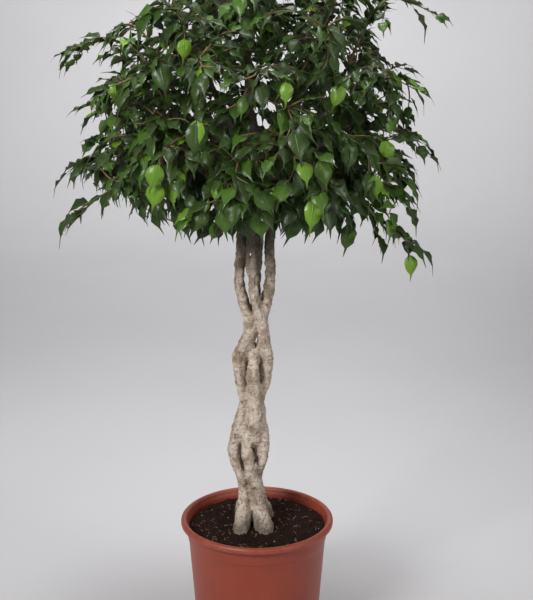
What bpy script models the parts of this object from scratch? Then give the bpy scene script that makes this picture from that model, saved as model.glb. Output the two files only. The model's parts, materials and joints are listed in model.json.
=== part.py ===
# Weeping fig with a braided trunk, growing in a nursery pot.
# Metres, +Z up. The origin is the middle of the pot's flat base, and -Y is the front.

import math
import random

import bmesh
import bpy
from mathutils import Matrix, Vector
from mathutils.bvhtree import BVHTree
from mathutils.kdtree import KDTree

UP = Vector((0.0, 0.0, 1.0))
GAP = 0.0003

# Pot: one moulded shell with a rolled rim, a collar band and a flat base with drain holes.
POT_HEIGHT = 0.250
POT_RIM_RADIUS = 0.150
POT_RIM_WIDTH = 0.0125
POT_RIM_HEIGHT = 0.0125
POT_COLLAR_Z = 0.2075
POT_COLLAR_STEP = 0.0015
POT_NECK_RADIUS = 0.1388
POT_BASE_RADIUS = 0.1205
POT_BASE_CORNER = 0.004
POT_WALL = 0.0028
POT_SEGMENTS = 32
DRAIN_HOLES = 6
DRAIN_RADIUS = 0.006
DRAIN_CIRCLE = 0.078
DRAIN_TURN = 0.37

# Soil: it fills the pot to just under the rim and is a little higher round the trunk.
SOIL_EDGE_Z = 0.2310
SOIL_MOUND = 0.0045
SOIL_RINGS = 2

# Trunk: four stems plaited together. Each row is a height, then x, y and radius for each stem.
# The stems stand apart at the bulges and are grown together at the waists.
BRAID = (
    (0.160, (-0.034, -0.03, 0.015), (0.018, -0.028, 0.016),
     (0.012, 0.03, 0.014), (-0.032, 0.028, 0.014)),
    (0.236, (-0.03, -0.025, 0.0195), (0.014, -0.023, 0.0225),
     (0.007, 0.023, 0.019), (-0.026, 0.021, 0.019)),
    (0.274, (-0.024, -0.017, 0.0155), (0.0, -0.016, 0.017),
     (0.001, 0.016, 0.016), (-0.021, 0.015, 0.015)),
    (0.326, (-0.0255, -0.008, 0.0135), (-0.0065, -0.014, 0.015),
     (-0.004, 0.012, 0.0145), (-0.02, 0.014, 0.013)),
    (0.386, (-0.043, 0.0, 0.016), (-0.013, -0.026, 0.011),
     (0.01, 0.0, 0.0155), (-0.012, 0.024, 0.015)),
    (0.426, (-0.0365, 0.003, 0.0145), (-0.024, -0.012, 0.013),
     (0.008, 0.006, 0.0145), (-0.004, -0.012, 0.0155)),
    (0.488, (-0.0215, 0.004, 0.012), (-0.015, 0.013, 0.0125),
     (0.0, 0.011, 0.0125), (-0.004, -0.01, 0.0155)),
    (0.562, (-0.0315, 0.0, 0.0155), (-0.01, 0.025, 0.014),
     (0.0165, 0.003, 0.015), (-0.006, -0.02, 0.0145)),
    (0.604, (-0.0235, -0.006, 0.014), (-0.01, 0.017, 0.0125),
     (0.0155, -0.004, 0.0135), (-0.001, 0.001, 0.0125)),
    (0.642, (-0.0135, -0.009, 0.0125), (-0.01, 0.011, 0.0115),
     (0.008, -0.009, 0.0125), (0.007, 0.01, 0.012)),
    (0.690, (-0.0235, -0.004, 0.012), (-0.002, 0.017, 0.011),
     (0.002, -0.016, 0.011), (0.018, 0.005, 0.013)),
    (0.738, (-0.0325, -0.002, 0.012), (0.005, 0.02, 0.011),
     (-0.012, -0.02, 0.0105), (0.0255, 0.0, 0.013)),
    (0.800, (-0.027, 0.001, 0.013), (0.004, 0.017, 0.011),
     (-0.011, -0.017, 0.011), (0.024, 0.0, 0.0125)),
    (0.850, (-0.031, 0.004, 0.0095), (0.003, 0.02, 0.0092),
     (-0.006, -0.02, 0.0092), (0.029, 0.002, 0.0095)),
)
STEM_STEP = 0.028
STEM_SIDES = 8

# Limbs: each stem forks inside the crown.
# A limb's numbers are its stem, its compass angle, its reach from the trunk and the height of its end.
LIMBS = (
    (0, 183.0, 0.175, 1.120),
    (0, 228.0, 0.150, 1.150),
    (1, 92.0, 0.165, 1.130),
    (1, 138.0, 0.150, 1.190),
    (2, 272.0, 0.150, 1.110),
    (2, 250.0, 0.030, 1.290),
    (3, 2.0, 0.175, 1.130),
    (3, 45.0, 0.150, 1.170),
    (3, 318.0, 0.150, 1.160),
)
LIMB_START_Z = 0.838
LIMB_ROOT_RADIUS = 0.0086
LIMB_TIP_RADIUS = 0.0036
LIMB_WAVE = 0.007
LIMB_SIDES = 6
LIMB_SEGMENTS = 5

# Crown: a wide dome, flatter underneath than above.
CROWN_AXIS = Vector((-0.012, 0.0, 0.0))
CROWN_WIDEST_Z = 0.965
CROWN_RADIUS = 0.292
CROWN_RISE = 0.405
CROWN_FALL = 0.100

# Boughs: dome boughs share out the crown evenly, and sprays are the long ones that hang past it.
# A spray's numbers are its compass angle, its reach from the trunk and the height of its tip.
DOME_BOUGHS = 32
SPRAYS = (
    (181.0, 0.331, 0.945),
    (199.0, 0.325, 0.890),
    (177.0, 0.318, 1.160),
    (163.0, 0.305, 1.040),
    (351.0, 0.315, 0.810),
    (4.0, 0.318, 0.995),
    (8.0, 0.296, 1.240),
    (348.0, 0.292, 1.110),
    (330.0, 0.310, 0.915),
    (262.0, 0.285, 0.945),
    (287.0, 0.300, 1.020),
    (240.0, 0.295, 1.010),
    (274.0, 0.270, 1.150),
    (224.0, 0.275, 1.130),
)
BOUGH_SEED = 11
BOUGH_POINTS = 6
BOUGH_STRAIGHT = 0.012
END_REACH = 0.30
END_TURN = 0.45
BOUGH_LIFT = 0.45
DOME_FALL = 62.0
TOP_FALL = 22.0
SPRAY_FALL = 34.0
BOUGH_ROOT_RADIUS = 0.0032
BOUGH_TIP_RADIUS = 0.0014
COLLAR_RADIUS = 0.0038
COLLAR_LENGTH = 0.0060
ROOT_SPACING = 0.024
BOUGH_CLEARANCE = 0.011

# Leaves: each one stands on a short stalk at a joint of its bough, to left and right in turn.
# The outline is a share of the length and a share of the width, from the stalk's root to the drip tip.
# The stalk is three-sided, with its flat side above.
LEAF_LENGTH = 0.066
LEAF_WIDTH = 0.033
LEAF_STALK = ((0.0, 0.018), (0.15, 0.018))
LEAF_EDGE = ((0.36, 0.48), (0.68, 0.38))
LEAF_LEFT = LEAF_STALK + LEAF_EDGE
LEAF_RIGHT = tuple((share, -half) for share, half in reversed(LEAF_LEFT))
LEAF_ABOVE = LEAF_LEFT + ((1.0, 0.0),) + LEAF_RIGHT
LEAF_BELOW = tuple((share, 0.0) for share, _ in LEAF_STALK) + LEAF_EDGE + LEAF_RIGHT[:2]
LEAF_THICKNESS = 0.0007
LEAF_KEEP_CLEAR = 0.0024
LEAF_FOLD = 0.0035
LEAF_ARCH = 0.0064
LEAF_JOINTS = 15
FIRST_JOINT = 0.24
LAST_JOINT = 0.93
LEAF_COUNT = 302
BLADE_MIDDLE = 0.6
OWN_STEM_CLEAR = 0.16
BARE = 1.0
TIP_FIRST = 10.0
LEAF_ROLLS = (0.0, 0.35, -0.35, 0.7, -0.7)
LEAF_NODS = (0.0, 0.3, -0.3, 0.6)

BARK = ((0.52, 0.45, 0.37), 0.85)
LEAF_GREEN = ((0.055, 0.150, 0.030), 0.38)
TERRACOTTA = ((0.42, 0.13, 0.08), 0.45)
PEAT = ((0.035, 0.022, 0.015), 0.95)


def clear_scene():
    for old in list(bpy.data.objects):
        bpy.data.objects.remove(old)


def collection_named(name):
    made = bpy.data.collections.new(name)
    bpy.context.scene.collection.children.link(made)
    return made


def material_named(name, colour_and_roughness):
    colour, roughness = colour_and_roughness
    made = bpy.data.materials.new(name)
    made.use_nodes = True
    shader = made.node_tree.nodes["Principled BSDF"]
    shader.inputs["Base Color"].default_value = (*colour, 1.0)
    shader.inputs["Roughness"].default_value = roughness
    made.diffuse_color = (*colour, 1.0)
    return made


def add_object(name, mesh, collection):
    made = bpy.data.objects.new(name, mesh)
    collection.objects.link(made)
    return made


def give_material(obj, material):
    obj.data.materials.clear()
    obj.data.materials.append(material)


def evaluated_mesh(obj):
    bpy.context.view_layer.update()
    graph = bpy.context.evaluated_depsgraph_get()
    return bpy.data.meshes.new_from_object(obj.evaluated_get(graph))


def apply_modifiers(obj):
    """Replaces the object's mesh by what its modifiers make of it."""
    mesh = evaluated_mesh(obj)
    obj.modifiers.clear()
    obj.data = mesh
    return obj


def hide_collection(collection):
    collection.hide_render = True
    return collection


def tube(name, points, radii, sides, collection):
    """A tapered, capped tube along the points: a bevelled curve made into a mesh."""
    curve = bpy.data.curves.new(name, "CURVE")
    curve.dimensions = "3D"
    curve.bevel_depth = 1.0
    curve.bevel_resolution = (sides - 4) // 2
    curve.use_fill_caps = True
    spline = curve.splines.new("POLY")
    spline.points.add(len(points) - 1)
    for spot, place, radius in zip(spline.points, points, radii):
        spot.co = (*place, 1.0)
        spot.radius = radius
    guide = bpy.data.objects.new(name, curve)
    collection.objects.link(guide)
    mesh = evaluated_mesh(guide)
    bpy.data.objects.remove(guide)
    shape = bmesh.new()
    shape.from_mesh(mesh)
    bmesh.ops.remove_doubles(shape, verts=shape.verts, dist=0.00002)
    bmesh.ops.recalc_face_normals(shape, faces=shape.faces)
    shape.to_mesh(mesh)
    shape.free()
    return add_object(name, mesh, collection)


def join_all(body, pieces):
    """Grows the collection's objects together with the body, then removes them."""
    union = body.modifiers.new("grown together", "BOOLEAN")
    union.operation = "UNION"
    union.operand_type = "COLLECTION"
    union.collection = pieces
    union.solver = "EXACT"
    apply_modifiers(body)
    for piece in list(pieces.objects):
        bpy.data.objects.remove(piece)


def cut_away(body, cutter):
    """Cuts the cutter's shape out of the body, then removes the cutter."""
    cut = body.modifiers.new("cut", "BOOLEAN")
    cut.operation = "DIFFERENCE"
    cut.object = cutter
    cut.solver = "EXACT"
    apply_modifiers(body)
    bpy.data.objects.remove(cutter)


def turned(name, profile, collection):
    """A solid of revolution about Z. The profile starts and ends on the axis."""
    mesh = bpy.data.meshes.new(name)
    edges = [(i, i + 1) for i in range(len(profile) - 1)]
    mesh.from_pydata([(r, 0.0, z) for r, z in profile], edges, [])
    made = add_object(name, mesh, collection)
    spin = made.modifiers.new("turn", "SCREW")
    spin.axis = "Z"
    spin.steps = POT_SEGMENTS
    spin.render_steps = POT_SEGMENTS
    spin.use_merge_vertices = True
    spin.merge_threshold = 0.00005
    return apply_modifiers(made)


def arc(centre, radius, start_deg, end_deg, steps):
    """Points of an arc in the profile plane, as (r, z)."""
    found = []
    for i in range(steps + 1):
        angle = math.radians(start_deg + (end_deg - start_deg) * i / steps)
        found.append((centre[0] + radius * math.cos(angle), centre[1] + radius * math.sin(angle)))
    return found


def pot_outer_radius(z):
    """The plain wall tapers evenly from the neck to the base."""
    return POT_BASE_RADIUS + (POT_NECK_RADIUS - POT_BASE_RADIUS) * z / (POT_HEIGHT - POT_RIM_HEIGHT)


def pot_inner_radius(z):
    return pot_outer_radius(z) - POT_COLLAR_STEP - POT_WALL


def make_pot(collection, cutters, material):
    """The shell as one turned profile, from the middle of its floor up the inside and down the outside."""
    roll = POT_RIM_WIDTH / 2
    rim_centre = (POT_RIM_RADIUS - roll, POT_HEIGHT - roll)
    rim_foot_z = POT_HEIGHT - POT_RIM_HEIGHT
    corner_z = POT_WALL + POT_BASE_CORNER
    collar_radius = pot_outer_radius(POT_COLLAR_Z)
    profile = [
        (0.0, POT_WALL),
        (pot_inner_radius(POT_WALL) - POT_BASE_CORNER, POT_WALL),
        (pot_inner_radius(corner_z), corner_z),
        (pot_inner_radius(POT_COLLAR_Z), POT_COLLAR_Z),
        (pot_inner_radius(rim_foot_z), rim_foot_z),
    ]
    profile += arc(rim_centre, roll, 180.0, 0.0, 4)
    profile += [
        (POT_RIM_RADIUS - 0.001, rim_foot_z),
        (POT_NECK_RADIUS, rim_foot_z),
        (collar_radius, POT_COLLAR_Z + POT_COLLAR_STEP),
        (collar_radius - POT_COLLAR_STEP, POT_COLLAR_Z),
        (pot_outer_radius(POT_BASE_CORNER) - POT_COLLAR_STEP, POT_BASE_CORNER),
        (POT_BASE_RADIUS - POT_COLLAR_STEP - POT_BASE_CORNER, 0.0),
        (0.0, 0.0),
    ]
    pot = turned("nursery_pot", profile, collection)
    for i in range(DRAIN_HOLES):
        angle = math.tau * (i + DRAIN_TURN) / DRAIN_HOLES
        middle = Vector((DRAIN_CIRCLE * math.cos(angle), DRAIN_CIRCLE * math.sin(angle), 0.0))
        ends = [middle - UP * POT_WALL, middle + UP * (2 * POT_WALL)]
        cut_away(pot, tube("drain hole", ends, [DRAIN_RADIUS, DRAIN_RADIUS], 8, cutters))
    give_material(pot, material)
    return pot


def stem_points(stem):
    """The smooth route of one plaited stem, and its radius along it."""
    knots = [(row[0], row[1 + stem]) for row in BRAID]
    points, radii = [], []
    for i in range(len(knots) - 1):
        before, here, there, after = (knots[min(max(i + k, 0), len(knots) - 1)] for k in (-1, 0, 1, 2))
        span = there[0] - here[0]
        steps = max(1, round(span / STEM_STEP))
        for j in range(steps):
            t = j / steps
            values = []
            for k in range(3):
                slope_here = (there[1][k] - before[1][k]) / max(there[0] - before[0], 1e-6) * span
                slope_there = (after[1][k] - here[1][k]) / max(after[0] - here[0], 1e-6) * span
                values.append(hermite(here[1][k], there[1][k], slope_here, slope_there, t))
            points.append(Vector((values[0], values[1], here[0] + span * t)))
            radii.append(values[2])
    top = knots[-1]
    points.append(Vector((top[1][0], top[1][1], top[0])))
    radii.append(top[1][2])
    return points, radii


def hermite(start, end, slope_start, slope_end, t):
    return (
        (2 * t**3 - 3 * t**2 + 1) * start
        + (t**3 - 2 * t**2 + t) * slope_start
        + (3 * t**2 - 2 * t**3) * end
        + (t**3 - t**2) * slope_end
    )


def bezier(knots, t):
    a, b, c, d = knots
    s = 1 - t
    return a * s**3 + b * (3 * s * s * t) + c * (3 * s * t * t) + d * t**3


def limb_curve(limb):
    """The four knots of a limb: up out of its stem, then outwards into the crown."""
    stem, compass, reach, top = limb
    route, _ = stem_points(stem)
    start = min(route, key=lambda p: abs(p.z - LIMB_START_Z))
    out = Vector((math.cos(math.radians(compass)), math.sin(math.radians(compass)), 0.0))
    end = CROWN_AXIS + out * reach + UP * top
    rise = top - start.z
    leave = start + UP * (0.45 * rise) + out * (0.10 * reach)
    arrive = end - UP * (0.35 * rise) - out * (0.25 * reach)
    return start, leave, arrive, end


def limb_point(knots, t):
    """A limb's curve with a slight wave, as it grew round earlier shoots."""
    side = (knots[3] - knots[0]).cross(UP).normalized()
    return bezier(knots, t) + side * (LIMB_WAVE * math.sin(math.tau * 1.2 * t + 40 * knots[3].x) * t)


def limb_radius(t):
    return LIMB_ROOT_RADIUS + (LIMB_TIP_RADIUS - LIMB_ROOT_RADIUS) * t


def bough_tips():
    """Where the boughs end: the long sprays, then evenly over the dome by the golden angle."""
    tips = []
    for compass, reach, z in SPRAYS:
        out = Vector((math.cos(math.radians(compass)), math.sin(math.radians(compass)), 0.0))
        tips.append((CROWN_AXIS + out * reach + UP * z, True))
    golden = math.pi * (3 - math.sqrt(5))
    for i in range(DOME_BOUGHS):
        height = -0.42 + 1.40 * (i + 0.5) / DOME_BOUGHS
        across = math.sqrt(1 - height * height)
        angle = i * golden + 0.4
        rise = CROWN_RISE if height > 0 else CROWN_FALL
        side = Vector((math.cos(angle), math.sin(angle), 0.0)) * (CROWN_RADIUS * across)
        tips.append((CROWN_AXIS + side + UP * (CROWN_WIDEST_Z + rise * height), False))
    return tips


def nearest_gap(route, obstacles):
    """How far the route stays from the nearest of the obstacles' points."""
    finder = KDTree(len(obstacles))
    for i, place in enumerate(obstacles):
        finder.insert(place, i)
    finder.balance()
    return min(finder.find(place)[2] for place in route)


def bough_route(limb, t, tip, spray):
    """A bough forks off its limb at an open angle, or carries on from its end, and hangs at its tip."""
    axis = limb_point(limb, t)
    limb_way = (axis - limb_point(limb, t - 0.03)).normalized()
    out = ((tip - axis) * Vector((1.0, 1.0, 0.0))).normalized()
    want = (tip - axis).normalized() + UP * BOUGH_LIFT
    aside = (want - limb_way * want.dot(limb_way)).normalized()
    start_way = (aside * 0.82 + limb_way * 0.57).normalized()
    collar = limb_radius(t) + COLLAR_LENGTH
    if t == 1.0:
        start_way, collar = limb_way, GAP
    height = max(0.0, (tip.z - CROWN_WIDEST_Z) / CROWN_RISE)
    fall = math.radians(SPRAY_FALL if spray else DOME_FALL + (TOP_FALL - DOME_FALL) * height)
    end_way = out * math.cos(fall) - UP * math.sin(fall)
    root = axis + start_way * collar
    straight = root + start_way * BOUGH_STRAIGHT
    span = (tip - straight).length
    knots = (straight, straight + start_way * (0.32 * span), tip - end_way * (0.55 * span), tip)
    route = [root] + [bezier(knots, i / (BOUGH_POINTS - 2)) for i in range(BOUGH_POINTS - 1)]
    return axis, start_way, collar, route


def root_choices(limbs, tip):
    """Where on the limbs a bough to this tip can start: at an open end, or else the most direct first."""
    choices = []
    for limb in limbs:
        for step in range(4, 40):
            axis = limb_point(limb, step / 40)
            climb = tip.z - axis.z
            cost = (tip - axis).length + 2.0 * max(0.0, 0.04 - climb) + 0.6 * max(0.0, climb - 0.14)
            choices.append((cost, len(choices), limb, step / 40))
        axis = limb_point(limb, 1.0)
        way = (axis - limb_point(limb, 0.9)).normalized()
        reach = tip - axis
        if reach.length < END_REACH and reach.normalized().dot(way) > END_TURN:
            choices.append((0.0, len(choices), limb, 1.0))
    return sorted(choices, key=lambda choice: choice[:2])


def plan_boughs():
    """Gives each bough the place on a limb that brings it to its tip, clear of the others."""
    limbs = [limb_curve(limb) for limb in LIMBS]
    wood = [limb_point(limb, k / 40) for limb in limbs for k in range(41)]
    wood += [place for i in range(4) for place in fine_points(stem_points(i)[0][-5:])]
    plans, taken, leafy = [], [], []
    for tip, spray in bough_tips():
        best = None
        for _, _, limb, t in root_choices(limbs, tip):
            if any((limb_point(limb, t) - other).length < ROOT_SPACING for other in taken):
                continue
            axis, way, collar, route = bough_route(limb, t, tip, spray)
            fine = fine_points(route)
            gap = nearest_gap(fine[5:], wood) - LIMB_ROOT_RADIUS
            if leafy:
                gap = min(gap, nearest_gap(fine, leafy))
            if best is None or gap > best[0]:
                best = (gap, axis, way, collar, route)
            if gap > BOUGH_CLEARANCE:
                break
        taken.append(best[1])
        leafy += fine_points(best[4])
        plans.append(best[1:])
    return limbs, plans


def fine_points(route):
    """The route with three points between each pair of its own."""
    return [a.lerp(b, k / 4) for a, b in zip(route, route[1:]) for k in range(4)] + [route[-1]]


def along(route, t):
    """A point and the direction at a share of the route, counted in its points."""
    place = min(t, 0.9999) * (len(route) - 1)
    i = int(place)
    return route[i].lerp(route[i + 1], place - i), (route[i + 1] - route[i]).normalized()


def leaf_frame(root, way, side, dice):
    """A leaf hangs down and outwards over the dome, with its face to the outside."""
    away = root - CROWN_AXIS - UP * CROWN_WIDEST_Z
    out = (away * Vector((1.0, 1.0, 0.0))).normalized()
    away.z *= 0.55
    face = (away.normalized() + UP * 0.35).normalized()
    down = (out * 0.5 - UP).normalized()
    across = way.cross(face).normalized() * side
    droop = dice.uniform(0.35, 0.85) + max(0.0, way.z)
    point = way * 0.75 + across * dice.uniform(0.35, 0.75) + down * droop
    face = face + across * dice.uniform(-0.35, 0.35) + way * dice.uniform(-0.15, 0.25)
    point = point.normalized()
    face = (face - point * face.dot(point)).normalized()
    size = dice.uniform(0.82, 1.15)
    return root, point, face, size


def leaf_frames(number, route):
    """A bough ends in a leaf and can carry others at its joints, to left and right in turn."""
    dice = random.Random(BOUGH_SEED * 1000 + number)
    frames = [leaf_frame(route[-1], along(route, 1.0)[1], 0, dice)]
    for i in range(LEAF_JOINTS):
        root, way = along(route, FIRST_JOINT + (LAST_JOINT - FIRST_JOINT) * i / (LEAF_JOINTS - 1))
        frames.append(leaf_frame(root, way, 1 if i % 2 else -1, dice))
    return frames


def dome_share(place):
    """How far out a place is in the crown: 1 on its surface."""
    away = place - CROWN_AXIS - UP * CROWN_WIDEST_Z
    rise = CROWN_RISE if away.z > 0 else CROWN_FALL
    return Vector((away.x / CROWN_RADIUS, away.y / CROWN_RADIUS, away.z / rise)).length


def leaf_mesh(frame, turn, thickness):
    """An oval blade on a stalk, folded along its rib, with a drip tip.

    The turn is a roll about its rib and a nod. The faces above and below are split alike.
    """
    root, point, face, size = frame
    roll, nod = turn
    face = Matrix.Rotation(roll, 3, point) @ face
    across = point.cross(face)
    nodding = Matrix.Rotation(nod, 3, across)
    point, face = nodding @ point, nodding @ face
    corners = []
    for level, outline in ((0.5, LEAF_ABOVE), (-0.5, LEAF_BELOW)):
        for share, half in outline:
            arch = LEAF_FOLD * abs(half) * 2 - LEAF_ARCH * share * share
            rise = arch * size + (level * thickness if share < 1 else 0)
            reach = point * (share * LEAF_LENGTH) + across * (half * LEAF_WIDTH)
            corners.append(root + reach * size + face * rise)
    upper = [(0, 1, 7, 8), (1, 2, 3), (1, 3, 4), (1, 4, 7), (7, 4, 5), (7, 5, 6)]
    lower = [(10, 12, 11), (10, 4, 12), (10, 13, 4), (10, 14, 13)]
    edge = [(0, 9, 10, 1), (1, 10, 11, 2), (2, 11, 12, 3), (3, 12, 4), (4, 13, 5), (5, 13, 14, 6)]
    edge += [(6, 14, 10, 7), (7, 10, 9, 8), (8, 9, 0)]
    mesh = bpy.data.meshes.new("leaf")
    mesh.from_pydata(corners, [], upper + lower + edge)
    shape = bmesh.new()
    shape.from_mesh(mesh)
    if shape.calc_volume(signed=True) < 0:
        bmesh.ops.reverse_faces(shape, faces=shape.faces)
    shape.to_mesh(mesh)
    shape.free()
    return mesh


def tree_of(mesh):
    mesh.calc_loop_triangles()
    return BVHTree.FromPolygons(
        [v.co.copy() for v in mesh.vertices],
        [tuple(t.vertices) for t in mesh.loop_triangles],
    )


def is_clear(mesh, trees):
    mine = tree_of(mesh)
    return not any(mine.overlap(other) for other in trees)


def make_trunk(limbs, plans, collection, pieces, material):
    """The plait, its limbs, and a collar under each bough, grown together in one piece."""
    stems = [stem_points(i) for i in range(4)]
    trunk = tube("braided_trunk", *stems[0], STEM_SIDES, collection)
    for points, radii in stems[1:]:
        tube("stem", points, radii, STEM_SIDES, pieces)
    for limb in limbs:
        shares = [i / LIMB_SEGMENTS for i in range(LIMB_SEGMENTS + 1)]
        route = [limb_point(limb, t) for t in shares]
        tube("limb", route, [limb_radius(t) for t in shares], LIMB_SIDES, pieces)
    for axis, way, collar, _ in plans:
        if collar > COLLAR_LENGTH:
            end = axis + way * (collar - GAP)
            tube("collar", [axis, end], [COLLAR_RADIUS * 1.15, COLLAR_RADIUS], 4, pieces)
    join_all(trunk, pieces)
    give_material(trunk, material)
    return trunk


def make_soil(collection, pieces, cutters, material):
    """A plug of potting soil with a plain hole for each stem of the trunk."""
    floor_z = POT_WALL + GAP
    edge = pot_inner_radius(SOIL_EDGE_Z) - GAP * 1.6
    foot = pot_inner_radius(POT_WALL) - POT_BASE_CORNER - GAP * 1.6
    lower = pot_inner_radius(POT_WALL + POT_BASE_CORNER) - GAP * 1.6
    profile = [(0.0, SOIL_EDGE_Z + SOIL_MOUND)]
    for i in range(1, SOIL_RINGS):
        share = i / SOIL_RINGS
        profile.append((edge * share, SOIL_EDGE_Z + SOIL_MOUND * (1 - share * share)))
    profile += [
        (edge, SOIL_EDGE_Z),
        (lower, POT_WALL + POT_BASE_CORNER),
        (foot, floor_z),
        (0.0, floor_z),
    ]
    soil = turned("potting_soil", profile, collection)
    hollows = []
    for i in range(4):
        points, radii = stem_points(i)
        buried = [p for p in points if p.z < SOIL_EDGE_Z + 0.05]
        buried[0].z -= 2 * GAP
        wide = [radius + 2 * GAP for radius in radii[: len(buried)]]
        hollows.append(tube("stem hole", buried, wide, STEM_SIDES, pieces if i else cutters))
    join_all(hollows[0], pieces)
    cut_away(soil, hollows[0])
    give_material(soil, material)
    return soil


def bough_stem(number, route, collection):
    taper = [1 - i / (BOUGH_POINTS - 1) for i in range(BOUGH_POINTS)]
    radii = [BOUGH_TIP_RADIUS + (BOUGH_ROOT_RADIUS - BOUGH_TIP_RADIUS) * share for share in taper]
    return tube(f"leafy_bough_{number:02d}", route, radii, 4, collection)


def clear_turn(frame, stem, others):
    """The first roll and nod at which the leaf clears the others, and its blade clears its own stem."""
    root, point, face, size = frame
    past_stalk = root + point * (OWN_STEM_CLEAR * LEAF_LENGTH * size)
    blade = (past_stalk, point, face, size * (1 - OWN_STEM_CLEAR))
    for nod in LEAF_NODS:
        for roll in LEAF_ROLLS:
            turn = (roll, nod)
            if not is_clear(leaf_mesh(blade, turn, LEAF_KEEP_CLEAR), [stem]):
                continue
            if is_clear(leaf_mesh(frame, turn, LEAF_KEEP_CLEAR), others):
                return turn
    return None


def spread_leaves(routes, stems, wood):
    """Picks the joints that carry a leaf: all the tips, then each next one where the crown is barest."""
    waiting, taken = [], [(None, wood)] + list(enumerate(stems))
    for number, route in enumerate(routes):
        for i, frame in enumerate(leaf_frames(number, route)):
            root, point, _, size = frame
            middle = root + point * (BLADE_MIDDLE * LEAF_LENGTH * size)
            waiting.append([BARE if i else TIP_FIRST, dome_share(middle), number, frame, middle])
    chosen = []
    while waiting and len(chosen) < LEAF_COUNT:
        best = max(waiting, key=lambda joint: joint[0] * joint[1])
        waiting.remove(best)
        _, _, number, frame, middle = best
        turn = clear_turn(frame, stems[number], [tree for owner, tree in taken if owner != number])
        if turn is None:
            continue
        taken.append((None, tree_of(leaf_mesh(frame, turn, LEAF_KEEP_CLEAR))))
        chosen.append((number, frame, turn))
        for joint in waiting:
            joint[0] = min(joint[0], (joint[4] - middle).length)
    return chosen


def main():
    clear_scene()
    parts = collection_named("weeping_fig")
    cutters = hide_collection(collection_named("cutters"))
    pieces = hide_collection(collection_named("pieces"))
    bark = material_named("bark", BARK)
    green = material_named("leaf", LEAF_GREEN)
    make_pot(parts, cutters, material_named("pot_plastic", TERRACOTTA))
    make_soil(parts, pieces, cutters, material_named("soil", PEAT))
    limbs, plans = plan_boughs()
    trunk = make_trunk(limbs, plans, parts, pieces, bark)
    routes = [plan[3] for plan in plans]
    boughs = [bough_stem(number, route, parts) for number, route in enumerate(routes)]
    leaves = spread_leaves(routes, [tree_of(bough.data) for bough in boughs], tree_of(trunk.data))
    for number, bough in enumerate(boughs):
        for owner, frame, turn in leaves:
            if owner == number:
                add_object("leaf", leaf_mesh(frame, turn, LEAF_THICKNESS), pieces)
        join_all(bough, pieces)
        give_material(bough, green)


main()
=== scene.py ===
import json
import math
import random

import bpy
import numpy as np
from mathutils import Matrix, Vector
from mathutils.bvhtree import BVHTree
from mathutils.kdtree import KDTree

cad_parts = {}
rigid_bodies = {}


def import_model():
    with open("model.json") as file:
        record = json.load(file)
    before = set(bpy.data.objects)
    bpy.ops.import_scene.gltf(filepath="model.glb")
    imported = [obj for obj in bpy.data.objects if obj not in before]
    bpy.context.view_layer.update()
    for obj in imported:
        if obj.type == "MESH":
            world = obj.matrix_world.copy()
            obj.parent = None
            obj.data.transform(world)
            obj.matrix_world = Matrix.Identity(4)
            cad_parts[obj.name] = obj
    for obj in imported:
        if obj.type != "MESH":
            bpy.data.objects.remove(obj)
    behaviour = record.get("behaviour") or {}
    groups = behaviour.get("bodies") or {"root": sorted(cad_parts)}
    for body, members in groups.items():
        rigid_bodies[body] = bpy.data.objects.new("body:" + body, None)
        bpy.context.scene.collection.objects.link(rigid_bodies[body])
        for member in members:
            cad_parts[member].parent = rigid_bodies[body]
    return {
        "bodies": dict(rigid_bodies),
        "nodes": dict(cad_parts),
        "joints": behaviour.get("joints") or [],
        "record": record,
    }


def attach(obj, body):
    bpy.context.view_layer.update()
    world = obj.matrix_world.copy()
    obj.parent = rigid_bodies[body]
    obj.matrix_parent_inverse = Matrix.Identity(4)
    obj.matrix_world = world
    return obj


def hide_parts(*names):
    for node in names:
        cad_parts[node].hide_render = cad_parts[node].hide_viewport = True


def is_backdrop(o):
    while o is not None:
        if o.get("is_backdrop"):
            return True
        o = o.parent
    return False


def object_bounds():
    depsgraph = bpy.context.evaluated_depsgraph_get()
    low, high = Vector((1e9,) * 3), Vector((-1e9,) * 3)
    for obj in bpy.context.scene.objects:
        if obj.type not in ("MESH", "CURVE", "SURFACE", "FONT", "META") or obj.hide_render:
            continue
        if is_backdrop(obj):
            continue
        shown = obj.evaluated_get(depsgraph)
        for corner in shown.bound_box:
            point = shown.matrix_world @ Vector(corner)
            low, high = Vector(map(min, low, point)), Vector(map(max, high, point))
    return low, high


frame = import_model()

cad_low, cad_high = (list(corner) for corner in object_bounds())

# The photographer's place.
# A long lens stands in front of the plant, level with its crown, and looks down at the trunk and pot.
CAMERA_PLACE = (0.0187, -2.6, 1.45)
CAMERA_DIP = 16.2
CAMERA_LENS = 85.9
FILM_WIDTH = 36
FARTHEST_VIEW = 50

bpy.ops.object.camera_add(location=CAMERA_PLACE, rotation=(math.radians(90 - CAMERA_DIP), 0, 0))
camera = bpy.context.object
camera.data.lens = CAMERA_LENS
camera.data.sensor_width = FILM_WIDTH
camera.data.clip_end = FARTHEST_VIEW
bpy.context.scene.camera = camera
bpy.context.scene.view_settings.view_transform = "Standard"

# Studio light.
# Two soft boxes stand in front, one to each side, a third hangs overhead, one lights the wall, and the room
# adds a little. Each has its place, its aim, its width, its power and the spread that its grid leaves it.
SOFT_BOXES = (
    ("left box", (-1.9, -2.5, 2.5), (0.0, 0.0, 0.70), 1.2, 88, 180),
    ("right box", (2.6, -2.2, 1.9), (0.0, 0.0, 0.70), 1.6, 30, 180),
    ("overhead box", (0.1, 0.7, 3.2), (0.0, 0.9, 0.0), 1.4, 18.5, 84),
    ("backdrop box", (0.0, 3.0, 3.4), (0.0, 4.8, 0.8), 2.2, 45, 108),
)
ROOM_LIGHT = (0.88, 0.87, 0.88)
ROOM_STRENGTH = 0.345

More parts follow.
